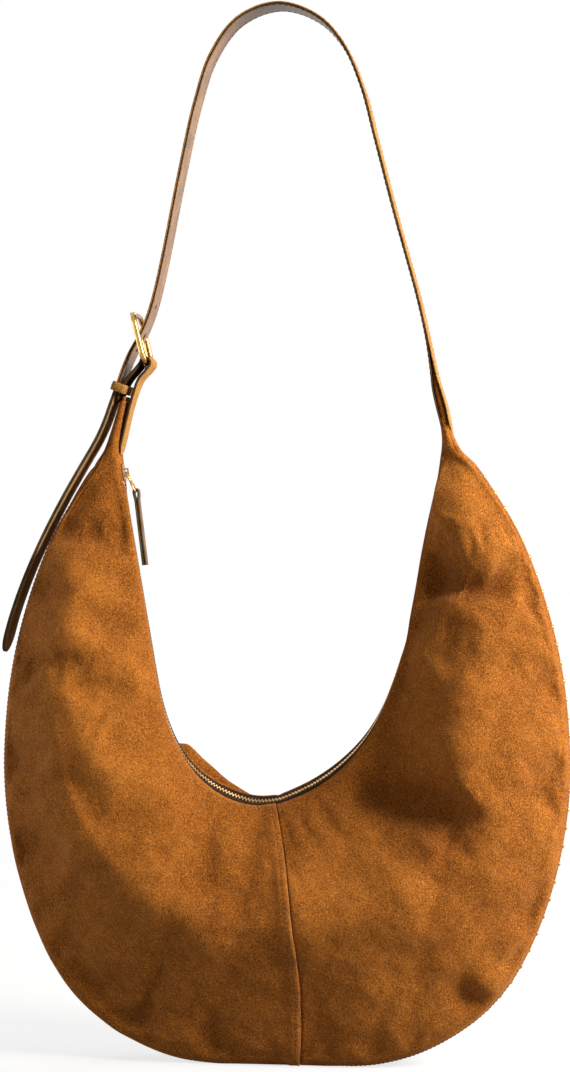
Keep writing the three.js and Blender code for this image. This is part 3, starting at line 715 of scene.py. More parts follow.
def leather(name, dark, middle, light, rough=(0.3, 0.5), grain=1.1, shine=0.25):
    """Smooth leather: a fine cell grain, cloudy dye and a satin shine."""
    finish = Finish(name)
    cells = finish.add("ShaderNodeTexVoronoi", {"Vector": finish.place, "Scale": 1000 / grain}).outputs["Distance"]
    cloud = finish.noise(18, 4, 0.6)
    fine = finish.noise(1.6, 3, 0.6)
    tone = finish.sum_of((cloud, 0.7), (fine, 0.25), (cells, 0.12))
    color = finish.ramp(tone, (0.34, dark), (0.54, middle), (0.74, light))
    height = finish.sum_of((cells, 0.6), (fine, 0.4))
    return finish.surface(
        Base_Color=color,
        Roughness=finish.between(cloud, *rough),
        Specular_IOR_Level=shine,
        Normal=finish.bump(height, 0.25, 0.3),
    )


def gold(name):
    """Polished pale gold with faint brushing, small dents and duller patches."""
    finish = Finish(name)
    cloud = finish.noise(9, 3, 0.6)
    brushing = finish.noise(0.5, 3, 0.7, place=finish.stretched(1, 1, 0.12))
    color = finish.ramp(cloud, (0.3, rgb(142, 102, 52)), (0.55, rgb(182, 142, 84)), (0.8, rgb(208, 170, 112)))
    return finish.surface(
        Base_Color=color,
        Metallic=1.0,
        Roughness=finish.between(finish.sum_of((cloud, 0.5), (brushing, 0.5)), 0.2, 0.3),
        Normal=finish.bump(brushing, 0.04, 0.1),
    )


def woven(name, dark, light, pitch, rough=0.85):
    """Plain weave: two crossed sets of threads that pass over and under each other."""
    finish = Finish(name)
    waves = []
    for direction in ("X", "Z"):
        inputs = {"Vector": finish.place, "Scale": 1000 / pitch / 20 * 2 * math.pi, "Distortion": 0.4}
        waves.append(finish.add("ShaderNodeTexWave", inputs, bands_direction=direction).outputs["Fac"])
    threads = finish.math("MULTIPLY", waves[0], waves[1])
    lint = finish.noise(3, 3, 0.6)
    tone = finish.sum_of((threads, 0.6), (lint, 0.6))
    return finish.surface(
        Base_Color=finish.ramp(tone, (0.25, dark), (0.75, light)),
        Roughness=rough,
        Specular_IOR_Level=0.05,
        Normal=finish.bump(threads, 0.5, 0.25),
    )


def thread(name, dark, light):
    """Twisted sewing thread."""
    finish = Finish(name)
    twist = finish.noise(0.5, 2, 0.5, place=finish.stretched(1, 1, 2.5))
    return finish.surface(
        Base_Color=finish.ramp(twist, (0.35, dark), (0.65, light)),
        Roughness=0.7,
        Normal=finish.bump(twist, 0.4, 0.15),
    )


body_suede = suede("suede_body", rgb(82, 40, 5), rgb(146, 82, 20), rgb(200, 124, 46), wear_and_shade=0.08)
strap_suede = suede("suede_strap", rgb(124, 80, 34), rgb(172, 120, 60), rgb(202, 154, 90), grain=1.2)
keeper_suede = suede("suede_keeper", rgb(110, 70, 24), rgb(165, 115, 50), rgb(196, 148, 76), grain=1.2)
raw_edge = suede("suede_raw_edge", rgb(128, 84, 44), rgb(176, 128, 82), rgb(206, 164, 116), grain=0.9)
tail_leather = leather("leather_tail", rgb(92, 68, 38), rgb(128, 98, 60), rgb(158, 126, 84), rough=(0.42, 0.56), shine=0.0)
strap_leather = leather("leather_strap", rgb(90, 63, 41), rgb(127, 94, 66), rgb(156, 122, 93), rough=(0.3, 0.46), shine=0.2)
# The tail's lining leather is painted lighter than the strap's lining. This stands in for light on this face, which
# lies in the body's shade.
tail_inside_painted_lighter = leather("leather_tail_inside_painted_lighter", rgb(138, 104, 66), rgb(170, 132, 90), rgb(196, 160, 118), (0.42, 0.56), shine=0.0)
puller_leather = leather("leather_puller", rgb(66, 46, 26), rgb(104, 76, 46), rgb(142, 108, 70), rough=(0.4, 0.55), shine=0.12)
edge_paint = leather("edge_paint", rgb(56, 38, 20), rgb(80, 56, 32), rgb(104, 76, 46), rough=(0.5, 0.65), shine=0.0)
tail_edge = leather("edge_tail", rgb(66, 50, 30), rgb(92, 72, 46), rgb(118, 94, 64), rough=(0.5, 0.65), shine=0.0)
facing_leather = leather("leather_facing", rgb(70, 44, 24), rgb(100, 66, 38), rgb(126, 88, 54))
lining_cloth = woven("lining_cloth", rgb(112, 84, 56), rgb(158, 126, 92), 0.9)
tape_cloth = woven("zip_tape_cloth", rgb(30, 20, 14), rgb(66, 48, 36), 0.7)
brass = gold("pale_gold")
pale_thread = thread("thread_pale", rgb(150, 112, 66), rgb(206, 170, 120))
dark_thread = thread("thread_dark", rgb(78, 42, 16), rgb(122, 72, 32))


# ---- Fixing pieces to bodies -----------------------------------------------------------------------------------


def at_neck(piece):
    """A piece that crosses the necks stays where it was built: its transform is baked into its mesh."""
    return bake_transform(piece)


def finished(piece, body, slot, *nodes):
    """Rides a piece on a body, or bakes it in place for the necks, and hides the CAD nodes it stands for. slot is not
    used.
    """
    if body == "neck":
        at_neck(piece)
    else:
        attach(piece, body)
    if nodes:
        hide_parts(*nodes)
    return piece


# ---- Panels ----------------------------------------------------------------------------------------------------

SEAM = STATIONS // 2
SURFACE = {side: sculpted(side) for side in (FRONT, BACK)}
NAMES = {FRONT: "front", BACK: "back"}
COLUMNS = {"left": slice(0, SEAM + 1), "right": slice(SEAM, STATIONS + 1)}


def run_from(points, axis, last):
    """Each grid point's distance to one end of its grid line."""
    if last:
        points = np.flip(points, axis)
    steps = np.linalg.norm(np.diff(points, axis=axis), axis=-1)
    zero = np.zeros_like(np.take(steps, [0], axis=axis))
    run = np.concatenate([zero, np.cumsum(steps, axis=axis)], axis=axis)
    return np.flip(run, axis) if last else run


def lapped(side, half):
    """A panel's outer face, with its seams: the front left panel laps over the right one at the centre, the back
    panels meet in a groove, and every panel rolls in where it meets the edge band."""
    points, normals, height = (grid[COLUMNS[half]].copy() for grid in SURFACE[side])
    from_seam = run_from(points, 0, half == "left")
    from_edge = run_from(points, 1, True)
    from_rim = run_from(points, 1, False)
    lift = -1.5 * np.exp(-((from_edge / 2.4) ** 2)) + 0.5 * np.exp(-(((from_edge - 6) / 3) ** 2))
    lift += -0.5 * np.exp(-((from_rim / 1.6) ** 2)) + 0.5 * np.exp(-(((from_rim - 5) / 2.5) ** 2))
    if side == BACK:
        lift += -1.4 * np.exp(-((from_seam / 2.2) ** 2))
    elif half == "left":
        lift += 1.5 * (1 - smoothstep(from_seam, 5, 12))
        lift += -0.5 * np.exp(-(((from_seam - 3.4) / 1.1) ** 2))
    else:
        lift += -0.5 * np.exp(-((from_seam / 3) ** 2))
    points += normals * lift[..., None]
    points[..., 2] = np.maximum(points[..., 2], 0.2)
    return points, normals, height


def add_panels():
    for side, side_name in NAMES.items():
        for half in COLUMNS:
            points, normals, height = lapped(side, half)
            sections = sheet_sections(points, normals, SUEDE, lip=0.7)
            around = sections.shape[1]
            lap_end = -2 if (side == FRONT and half == "left") else -9
            name = f"{side_name}_panel_{half}"
            piece = solid(
                f"suede_{name}", sections, [body_suede, raw_edge], lambda place: (place == lap_end).astype(int)
            )
            # Fold heights kept for the suede's colour: lighter on crests as wear, darker in valleys as painted shade.
            rubbed_and_shaded = np.zeros((len(points), around))
            rubbed_and_shaded[:, : ROWS + 1] = np.clip(height / 7, -1, 1)
            attribute = piece.data.attributes.new("rubbed_and_shaded", "FLOAT", "POINT")
            attribute.data.foreach_set("value", rubbed_and_shaded.ravel().astype(np.float32))
            finished(piece, "neck", "suede", name)


def add_centre_stitches():
    """The row of stitches to the left of the front seam, on the panel that laps over."""
    points, normals, _ = lapped(FRONT, "left")
    from_seam = run_from(points, 0, True)
    row = []
    for r in range(ROWS + 1):
        order = np.argsort(from_seam[:, r])
        found = [np.interp(3.4, from_seam[order, r], points[order, r, k]) for k in range(3)]
        row.append(found + [normals[-3, r, k] for k in range(3)])
    row = np.array(row)
    run = np.concatenate([[0], np.cumsum(np.linalg.norm(np.diff(row[:, :3], axis=0), axis=1))])
    at = np.arange(4, run[-1] - 4, 3.6)
    places = np.stack([np.interp(at, run, row[:, k]) for k in range(6)], axis=1)
    ahead = np.gradient(places[:, :3], axis=0)
    piece = stitches("seam_stitches", places[:, :3], ahead, places[:, 3:], dark_thread)
    finished(piece, "bag", "suede")


# ---- Edge band and studs ---------------------------------------------------------------------------------------

BAND_COLUMNS = 16


def band_grid(t):
    """The band's outer face, slightly crowned, with both long edges rolled in at the seams."""
    centre = outline.point(t)
    out = -outline.left(t)
    y = np.linspace(-1, 1, BAND_COLUMNS + 1)
    half = edge_half(t) - 0.5
    from_edge = (1 - np.abs(y))[None] * half[:, None]
    crown = 0.9 * (1 - y[None] ** 2) - 1.5 * np.exp(-((from_edge / 2) ** 2))
    crown = crown * (1 - 0.5 * in_neck(t))[:, None]
    x = centre[:, None, 0] + out[:, None, 0] * crown
    z = np.maximum(centre[:, None, 1] + out[:, None, 1] * crown, 0.2)
    points = np.stack([x, y[None] * half[:, None], z], axis=-1)
    normals = np.stack([out[:, 0], 0 * t, out[:, 1]], axis=-1)[:, None] + np.zeros_like(points)
    return points, normals


def stud_places(half):
    """Where the studs of one half stand: an even pitch from the horn down to the floor."""
    step = STUD_PITCH / 2 / 752.0
    t = np.arange(step, 0.5 - step / 2, step)
    t = t if half == "left" else 1 - t
    return t[outline.point(t)[:, 1] > 8]


def add_band():
    for half, ends in (("left", (-NECK_T, 0.4997)), ("right", (0.5003, 1 + NECK_T))):
        t = np.linspace(*ends, 261)
        points, normals = band_grid(t)
        piece = solid(f"suede_edge_band_{half}", sheet_sections(points, normals, SUEDE), [body_suede])
        finished(piece, "neck", "suede", f"edge_band_{half}")

        places, ahead, outs = [], [], []
        seam_t = np.arange(0.006, 0.494, 0.0029)
        seam_t = seam_t if half == "left" else 1 - seam_t
        seam_points, seam_normals = band_grid(seam_t)
        for column in (2, BAND_COLUMNS - 2):
            places.append(seam_points[:, column])
            ahead.append(np.gradient(seam_points[:, column], axis=0))
            outs.append(seam_normals[:, column])
        piece = stitches(
            f"band_stitches_{half}", np.concatenate(places), np.concatenate(ahead), np.concatenate(outs), dark_thread,
            2.4, 0.2,
        )  # fmt: skip
        finished(piece, "bag", "suede")
        add_studs(half)


def add_studs(half):
    """Domes with a small rolled foot, standing on the band's crown."""
    angle = np.arange(18) * 2 * np.pi / 18
    profile = [(0.80, -0.5), (1.0, -0.2), (1.03, 0.12), (0.93, 0.3), (0.86, 0.62), (0.66, 1.08), (0.36, 1.38), (0.05, 1.5)]
    parts = []
    for t in stud_places(half):
        centre, out = outline.point(t), -outline.left(t)
        foot = np.array([centre[0] + out[0] * 0.45, 0, centre[1] + out[1] * 0.7])
        up = np.array([out[0], 0, out[1]])
        aside = np.array([-out[1], 0, out[0]])
        ring = np.cos(angle)[:, None] * aside + np.sin(angle)[:, None] * np.array([0, 1, 0])
        sections = [foot + up * rise + ring * STUD_RADIUS * radius for radius, rise in profile]
        points, faces, _ = loft(sections)
        parts.append((points, faces))
    points, faces = gather(parts)
    finished(make_piece(f"stud_domes_{half}", points, faces, [brass]), "bag", "brass", f"studs_{half}")


# ---- Inside ----------------------------------------------------------------------------------------------------

LINING_DEPTH = 3.4


def eased(side, points, times):
    """A grid with its folds smoothed out and never outside the folded one, its border left in place."""
    limit = points[..., 1] * side
    points = points.copy()
    for _ in range(times):
        middle = points[:-2, 1:-1] + points[2:, 1:-1] + points[1:-1, :-2] + points[1:-1, 2:]
        points[1:-1, 1:-1] = middle / 4
        points[..., 1] = side * np.minimum(points[..., 1] * side, limit)
    return points


def add_inside_sheet(name, side, t_range, s_range, depth, thickness, material, slot, *nodes):
    """A sheet that hangs inside the sculpted surface, clear of its folds."""
    points, normals = INSIDE[side]
    to_column = lambda t: int(round((t + NECK_T) / (1 + 2 * NECK_T) * STATIONS))
    columns = slice(to_column(t_range[0]), to_column(t_range[1]) + 1, 2)
    rows = slice(int(s_range[0] * ROWS), int(s_range[1] * ROWS) + 1, 2)
    sections = sheet_sections(points[columns, rows], normals[columns, rows], thickness, depth)
    finished(solid(name, sections, [material]), "bag", slot, *nodes)


INSIDE = {}


def add_inside():
    for side, (points, _, _) in SURFACE.items():
        calm = eased(side, points, 60)
        INSIDE[side] = (calm, normals_of(calm, side))
    for side, name in NAMES.items():
        add_inside_sheet(
            f"{name}_facing_leather", side, (0.03, 0.97), (0.06, 0.18), LINING_DEPTH, 1.0,
            facing_leather, "smooth_leather", f"{name}_facing",
        )  # fmt: skip
        add_inside_sheet(
            f"{name}_lining_cloth", side, (0.05, 0.95), (0.2, 0.84), LINING_DEPTH, 0.6,
            lining_cloth, "lining", f"{name}_lining",
        )  # fmt: skip
    add_inside_sheet(
        "pocket_cloth", BACK, (0.4, 0.6), (0.5, 0.8), LINING_DEPTH + 1.2, 0.8, lining_cloth, "lining", "slip_pocket"
    )
    add_inside_sheet(
        "pocket_binding_leather", BACK, (0.4, 0.6), (0.44, 0.49), LINING_DEPTH + 1.2, 1.4,
        facing_leather, "smooth_leather", "pocket_binding",
    )  # fmt: skip


# ---- Necks -----------------------------------------------------------------------------------------------------


CORE_RISE = 4.0  # how far a core stands above the panels' ends


def add_necks():
    """Each neck's inner face closes the tube above the zip, and a folded core fills it."""
    for half, sign in (("left", 1), ("right", -1)):
        t = np.linspace(0.0, NECK_T, 40)
        t = -t if half == "left" else 1 + t
        centre = rim.point(t)
        out = rim.left(t)
        y = np.linspace(-1, 1, 17)
        wide = rim_half(t) + 0.6
        crown = 1.1 * (1 - y[None] ** 2) - 0.9
        points = np.stack(
            [
                centre[:, None, 0] + out[:, None, 0] * crown,
                wide[:, None] * y[None],
                centre[:, None, 1] + out[:, None, 1] * crown,
            ],
            axis=-1,
        )
        normals = np.stack([out[:, 0], 0 * t, out[:, 1]], axis=-1)[:, None] + np.zeros_like(points)
        piece = solid(f"neck_inner_{half}", sheet_sections(points, normals, SUEDE), [body_suede])
        finished(piece, "neck", "suede", f"neck_{half}")

        heights = np.linspace(0.35, 0.985, 16) * NECK_T
        t = -heights if half == "left" else 1 + heights
        a, b = rim.point(t), outline.point(t)
        angle = np.arange(24) * 2 * np.pi / 24
        across = np.sign(np.sin(angle)) * np.abs(np.sin(angle)) ** 0.6
        thick = np.sign(np.cos(angle)) * np.abs(np.cos(angle)) ** 0.6
        middle, reach = (a + b) / 2, (b - a) / 2 * 0.72
        plan = middle[:, None] + reach[:, None] * thick[None, :, None]
        core = np.stack([plan[..., 0], 10.5 * across[None] + 0 * plan[..., 0], plan[..., 1]], axis=-1)
        rise = core[-1].mean(axis=0) - core[-2].mean(axis=0)
        rise *= CORE_RISE / np.linalg.norm(rise)
        core = np.concatenate([core, [core[-1] + rise * 0.6, core[-1] + rise]])
        finished(solid(f"neck_core_{half}", core, [body_suede]), "neck", "suede")


# ---- Zip -------------------------------------------------------------------------------------------------------

TOOTH_PITCH = 2.6


def zip_place(t, y, depth):
    """A place in the zip's bed: y across it, and depth into the bag."""
    plan = rim.point(t) - rim.left(t) * np.asarray(depth)[..., None]
    return np.stack([plan[..., 0], y + 0 * plan[..., 0], plan[..., 1] + rim_tilt(t) * y], axis=-1)


def even_along_rim(t0, t1, pitch):
    fine = np.linspace(t0, t1, 2000)
    run = np.concatenate([[0], np.cumsum(np.hypot(*np.diff(rim.point(fine), axis=0).T))])
    return np.interp(np.arange(0, run[-1], pitch), run, fine)


def add_zip():
    profile = [(-0.9, 0.62), (-0.5, 1), (0.5, 1), (0.9, 0.62)]  # along a tooth's thickness, and its size there
    for side, name in NAMES.items():
        t = np.linspace(0.004, 0.996, 420)[:, None]
        y = side * lerp(3.3, rim_half(t) - 2.3, np.linspace(0, 1, 5)[None])
        tape = zip_place(t + 0 * y, y, 0 * y + TAPE_DEPTH - 0.4)
        down = tape - zip_place(t + 0 * y, y, 0 * y + TAPE_DEPTH - 1.4)
        down /= np.linalg.norm(down, axis=-1, keepdims=True)
        piece = solid(f"zip_tape_{name}_woven", sheet_sections(tape, -down, 0.8, lip=0.2), [tape_cloth])
        finished(piece, "bag", "zip_tape", f"zip_tape_{name}")

        parts = []
        teeth = even_along_rim(0.009, 0.987, TOOTH_PITCH)
        shift = 0 if side == FRONT else 0.5 * (teeth[1] - teeth[0])
        for t_tooth in teeth + shift:
            along = rim.direction(t_tooth)
            centre = zip_place(t_tooth, 0.0, TAPE_DEPTH)
            ahead = np.array([along[0], 0, along[1]])
            across = np.array([0, side, side * rim_tilt(t_tooth)])
            up = np.cross(ahead, across)
            up /= np.linalg.norm(up)
            loop = [(-0.9, -0.45), (-0.6, -0.72), (2.6, -0.62), (3.2, -0.8), (3.2, 0.8), (2.6, 0.62), (-0.6, 0.72), (-0.9, 0.45)]
            sections = []
            for rise, size in profile:
                ring = [centre + across * (1.1 + (u - 1.1) * size) + ahead * v * size for u, v in loop]
                sections.append([p + up * rise * 1.2 for p in ring])
            points, faces, _ = loft(sections)
            parts.append((points, faces))
        points, faces = gather(parts)
        piece = make_piece(f"zip_teeth_{name}_row", points, faces, [brass], smooth=False)
        finished(piece, "bag", "brass", f"zip_teeth_{name}")


def polish_metal(name):
    """A CAD metal part keeps its shape, and gets softened edges and the gold finish."""
    part = frame["nodes"][name]
    part.data.materials.clear()
    part.data.materials.append(brass)
    part.modifiers.new("weld", "WELD").merge_threshold = 1e-5
    bevel = part.modifiers.new("bevel", "BEVEL")
    bevel.width = 0.00025
    bevel.segments = 2
    bevel.limit_method = "ANGLE"
    bevel.angle_limit = math.radians(35)


# ---- Pull ------------------------------------------------------------------------------------------------------

JOINTS = {joint["name"]: joint for joint in frame["joints"]}


def joint_place(name):
    x, _, z = JOINTS[name]["pos_m"]
    return np.array([x, z]) / MM


def rounded_loop(width, height, corner, steps=72):
    """Points of a rounded rectangle about its middle, as across and up."""
    corners = [(1, 1), (-1, 1), (-1, -1), (1, -1)]
    points = []
    for k, (sx, sy) in enumerate(corners):
        for angle in np.linspace(k * 90, k * 90 + 90, steps // 4):
            a = math.radians(angle)
            x = sx * (width / 2 - corner) + corner * math.cos(a)
            y = sy * (height / 2 - corner) + corner * math.sin(a)
            points.append((x, y))
    return np.array(points)


def hung_loop(middle, up, width, height, corner):
    """A rounded loop that stands across the bag in y, with its other direction along up in the middle plane."""
    flat = rounded_loop(width, height, corner)
    plan = middle + flat[:, 1:2] * up
    return np.stack([plan[:, 0], flat[:, 0], plan[:, 1]], axis=1)


RING_WIRE = 0.75


def add_pull():
    pivot, puller_pivot = joint_place("pull_swing"), joint_place("puller_swing")
    down = puller_pivot - pivot
    reach = np.hypot(*down)
    down /= reach
    tilt_across = (-down[1], 0.0, down[0])
    ring = hung_loop(pivot + down * 4.75, -down, 7.0, 9.5, 3.3)
    link = hung_loop(puller_pivot - down * 3.25, -down, 11.5, 6.5, 1.6)
    parts = []
    for path in (ring, link):
        points, faces, _ = loft(rod_sections(path, RING_WIRE, tilt_across, closed=True, sides=14), closed=True)
        parts.append((points, faces))
    piece = make_piece("zip_pull_ring", *gather(parts), [brass])
    finished(piece, "pull", "brass", "zip_pull_link")


PULLER_LENGTH = 56
PULLER_LEAN = math.radians(-7)


def ply_sections(line, q, half, thickness, crown=0.0, face_points=13):
    """Loops round a flat ply along a line in the middle plane: its left face, one rounded edge, its right face and the
    other edge. half is its half width at each place."""
    centre, left = line.point(q), line.left(q)
    bulge = np.linspace(-1, 1, face_points)
    corner = thickness / 2
    arc = np.linspace(0, np.pi, 7)[1:-1]
    loop = []
    for y in bulge:
        loop.append((y, 0.0, corner + crown * (1 - y * y)))
    for a in arc:
        loop.append((1.0, math.sin(a) * corner, math.cos(a) * corner))
    for y in bulge[::-1]:
        loop.append((y, 0.0, -corner - crown * (1 - y * y)))
    for a in arc:
        loop.append((-1.0, -math.sin(a) * corner, -math.cos(a) * corner))
    loop = np.array(loop)
    half = np.broadcast_to(half, q.shape)
    y = (half[:, None] - corner) * loop[None, :, 0] + loop[None, :, 1]
    x = centre[:, None, 0] + left[:, None, 0] * loop[None, :, 2]
    z = centre[:, None, 1] + left[:, None, 1] * loop[None, :, 2]
    return np.stack([x, y, z], axis=-1)


def ply_slots(face_points=13):
    """Material numbers round a ply's loop: 0 for its left face, 1 for its right face and 2 for its edges."""

    def slot_of(place):
        slots = np.full(len(place), 2)
        slots[(place >= 0) & (place < face_points - 1)] = 0
        first = face_points - 1 + 6
        slots[(place >= first) & (place < first + face_points - 1)] = 1
        return slots

    return slot_of


def add_puller():
    x, z = joint_place("puller_swing")
    eye = RING_WIRE + 0.35 + 0.7
    side = 1.1
    arm = [(-side, -PULLER_LENGTH), (-side, -45), (-side, -34), (-side, -22), (-side, -12), (-side - 0.1, -6)]
    arm += [(-eye, -1.5), (-eye * 0.72, eye * 0.75)]
    path = np.array(arm + [(0, eye)] + [(-a, b) for a, b in arm[::-1]])
    cos, sin = math.cos(PULLER_LEAN), math.sin(PULLER_LEAN)
    turned = np.stack([path[:, 0] * cos + path[:, 1] * sin, -path[:, 0] * sin + path[:, 1] * cos], axis=1)
    line = Line(turned + [x, z])
    q = np.linspace(0, line.length, 150)
    half = 4.5 - 0.7 * np.exp(-(((q - line.length / 2) / 8) ** 2))
    sections = ply_sections(line, q, half, 1.4)
    piece = solid("puller_leather", sections, [puller_leather, puller_leather, tail_edge], ply_slots())
    finished(piece, "puller", "smooth_leather", "zip_puller")


# ---- Strap, tail and tab ---------------------------------------------------------------------------------------

KEEPER_Z = 505.0
EDGE_STITCH = 2.7  # from a strap's edge to its row of stitches


def edge_stitch_rows(name, line, q0, q1, body, offsets, material=pale_thread, pitch=4.4):
    """Rows of stitches near both edges of a ply, on the faces at the given offsets to the line's left."""
    q = np.arange(q0, q1, pitch)
    centre, left, ahead = line.point(q), line.left(q), line.direction(q)
    places, directions, outs = [], [], []
    for offset in offsets:
        for edge in (-1, 1):
            plan = centre + left * offset
            y = np.full(len(q), edge * (STRAP_HALF - EDGE_STITCH))
            places.append(np.stack([plan[:, 0], y, plan[:, 1]], axis=1))
            directions.append(np.stack([ahead[:, 0], 0 * q, ahead[:, 1]], axis=1))
            outs.append(np.stack([left[:, 0], 0 * q, left[:, 1]], axis=1) * np.sign(offset))
    piece = stitches(
        name, np.concatenate(places), np.concatenate(directions), np.concatenate(outs), material, 2.8, 0.2
    )
    finished(piece, body, "smooth_leather")


def strap_line(name):
    """A CAD strap ply's middle line, from the keeper to its sewn end."""
    points = middle_line((name,), 2.2, (0, 600), 1, 12)
    end = points[-1] + (points[-1] - points[-2]) / np.hypot(*(points[-1] - points[-2])) * 7
    points = np.vstack([points, end])
    # both sewn ends hug the neck
    shift = 4.2 if name == "strap_lining" else -2.4
    points[:, 0] += np.where(points[:, 0] > 0, shift * (1 - smoothstep(points[:, 1], 466, 506)), 0)
    return points


def tail_line(name, strap_points):
    """A CAD tail ply's middle line from its tip, carried on up the strap to the keeper."""
    points = middle_line((name,), 2.2, (-100, 350), 1, 14.5)
    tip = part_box(name)[0]
    tip = np.array([tip[0], tip[2]]) / MM + [0.6, 0.6]
    low = strap_points[(strap_points[:, 1] < KEEPER_Z + 6) & (strap_points[:, 0] < 0)]
    return Line(np.vstack([tip, points, low[low[:, 1] > points[-1, 1] + 4]]))


HOLE_WIDTH = 3.8
HOLE_PITCH = 22.0
TAIL_HOLES = (120, 120 + HOLE_PITCH, 120 + 2 * HOLE_PITCH)  # from the tip
STRAP_HOLES = (78,)  # above the keeper
PRONG_SLOT = ((-110.9, 540.4), 29.0, 16.0, 4.6)  # its middle, its lean, its length and its width


def holes_along(line, distances):
    return [(line.point(q), line.direction(q), HOLE_WIDTH, HOLE_WIDTH) for q in distances]


def punch(piece, holes):
    """Cuts round or long holes through a flat ply. Each hole has a middle, a direction, a length and a width."""
    angle = np.arange(24) * 2 * np.pi / 24
    parts = []
    for middle, along, length, width in holes:
        out = np.array([-along[1], along[0]])
        reach = np.sin(angle) * width / 2 + np.sign(np.sin(angle).round(6)) * (length - width) / 2
        y = np.cos(angle) * width / 2
        ring = np.asarray(middle) + reach[:, None] * along
        sections = []
        for rise in (-3, 3):
            plan = ring + out * rise
            sections.append(np.stack([plan[:, 0], y, plan[:, 1]], axis=1))
        points, faces, _ = loft(sections)
        parts.append((points, faces))
    cutter = make_piece("cutter", *gather(parts), [])
    modifier = piece.modifiers.new("holes", "BOOLEAN")
    modifier.object = cutter
    modifier.operation = "DIFFERENCE"
    modifier.solver = "EXACT"
    graph = bpy.context.evaluated_depsgraph_get()
    piece.data = bpy.data.meshes.new_from_object(piece.evaluated_get(graph))
    piece.modifiers.clear()
    piece.data.set_sharp_from_angle(angle=math.radians(50))
    bpy.data.objects.remove(cutter)


WEDGE_HEIGHTS = (474, 524)


def add_neck_wedge(inner_line, outer_line):
    """The right neck's suede runs up between the strap's two plies and fills the space between them."""
    heights = np.linspace(*WEDGE_HEIGHTS, 14)
    faces = []
    for line in (inner_line, outer_line):
        q = np.linspace(line.length * 0.7, line.length, 400)
        points = line.point(q)
        faces.append(np.interp(heights, points[::-1, 1], points[::-1, 0]))
    half = STRAP_HALF - 1.2 - 3 * smoothstep(heights, 504, 524)
    angle = np.arange(24) * 2 * np.pi / 24
    round_y = np.sign(np.sin(angle)) * np.abs(np.sin(angle)) ** 0.5
    round_x = np.sign(np.cos(angle)) * np.abs(np.cos(angle)) ** 0.5
    middle = (faces[0] + faces[1]) / 2
    reach = np.maximum((faces[1] - faces[0]) / 2 - PLY / 2 + 0.1, 0.25)
    x = middle[:, None] + reach[:, None] * round_x
    y = half[:, None] * round_y
    sections = np.stack([x, y, heights[:, None] + 0 * x], axis=-1)
    finished(solid("neck_wedge_right", sections, [body_suede]), "neck", "suede")


def add_strap():
    strap_points = {name: strap_line(name) for name in ("strap_outer", "strap_lining")}
    finishes = {
        "strap_outer": [strap_suede, edge_paint, strap_suede],
        "strap_lining": [edge_paint, strap_leather, edge_paint],
    }
    for name, points in strap_points.items():
        line = Line(points).shifted(-PLY_CLOSER if name == "strap_outer" else PLY_CLOSER)
        lowest = np.interp(KEEPER_Z - 2, points[:6, 1], line.at[:6])
        q = np.linspace(lowest, line.length, 420)
        half = STRAP_HALF * np.minimum(1, 0.25 + 0.75 * (line.length - q) / 10)
        sections = ply_sections(line, q, half, PLY, crown=0.12)
        piece = solid(f"{name}_ply", sections, finishes[name], ply_slots())
        lean = math.radians(PRONG_SLOT[1])
        slot = (PRONG_SLOT[0], np.array([math.sin(lean), math.cos(lean)]), *PRONG_SLOT[2:])
        punch(piece, [slot] + holes_along(line, STRAP_HOLES))
        finished(piece, "neck", "suede" if name == "strap_outer" else "smooth_leather", name)
        offset = PLY / 2 + 0.08
        face = offset if name == "strap_outer" else -offset
        edge_stitch_rows(f"{name}_stitches", line, lowest + 12, line.length - 44, "strap", [face])
        if name == "strap_outer":
            outer_line = line
        else:
            add_neck_wedge(line, outer_line)

    tail_finishes = {
        "tail_outer": [tail_leather, tail_leather, tail_edge],
        "tail_lining": [tail_inside_painted_lighter, tail_inside_painted_lighter, tail_edge],
    }
    for name, strap_name in (("tail_outer", "strap_outer"), ("tail_lining", "strap_lining")):
        line = tail_line(name, strap_points[strap_name])
        line = line.shifted(-PLY_CLOSER if name == "tail_outer" else PLY_CLOSER)
        u = np.linspace(0, 1, 240) ** 1.5
        q = u * line.length
        from_tip = np.minimum(q, STRAP_HALF)
        half = np.maximum(2.5, np.sqrt(STRAP_HALF**2 - (STRAP_HALF - from_tip) ** 2))
        # the tail leaves the strap's left side, so its outer face is on its path's right
        sections = ply_sections(line, q, half, PLY, crown=0.1)
        piece = solid(f"{name}_ply", sections, tail_finishes[name], ply_slots())
        punch(piece, holes_along(line, TAIL_HOLES))
        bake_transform(piece)
        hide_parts(name)
        offset = PLY / 2
        face = offset if name == "tail_outer" else -offset
        edge_stitch_rows(f"{name}_stitches", line, 14, line.length - 34, "tail", [face])


TAB_HALF = 14.0
BAR_EYE = 3.8
BUCKLE_WIRE = 2.15


def buckle_ends():
    """The middles of the buckle's two bars, the one held by the tab first."""
    low, high = (np.array(corner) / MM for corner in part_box("buckle_frame"))
    bar = np.array([high[0] - BUCKLE_WIRE, low[2] + BUCKLE_WIRE])
    far = np.array([low[0] + BUCKLE_WIRE, high[2] - BUCKLE_WIRE])
    return bar, far


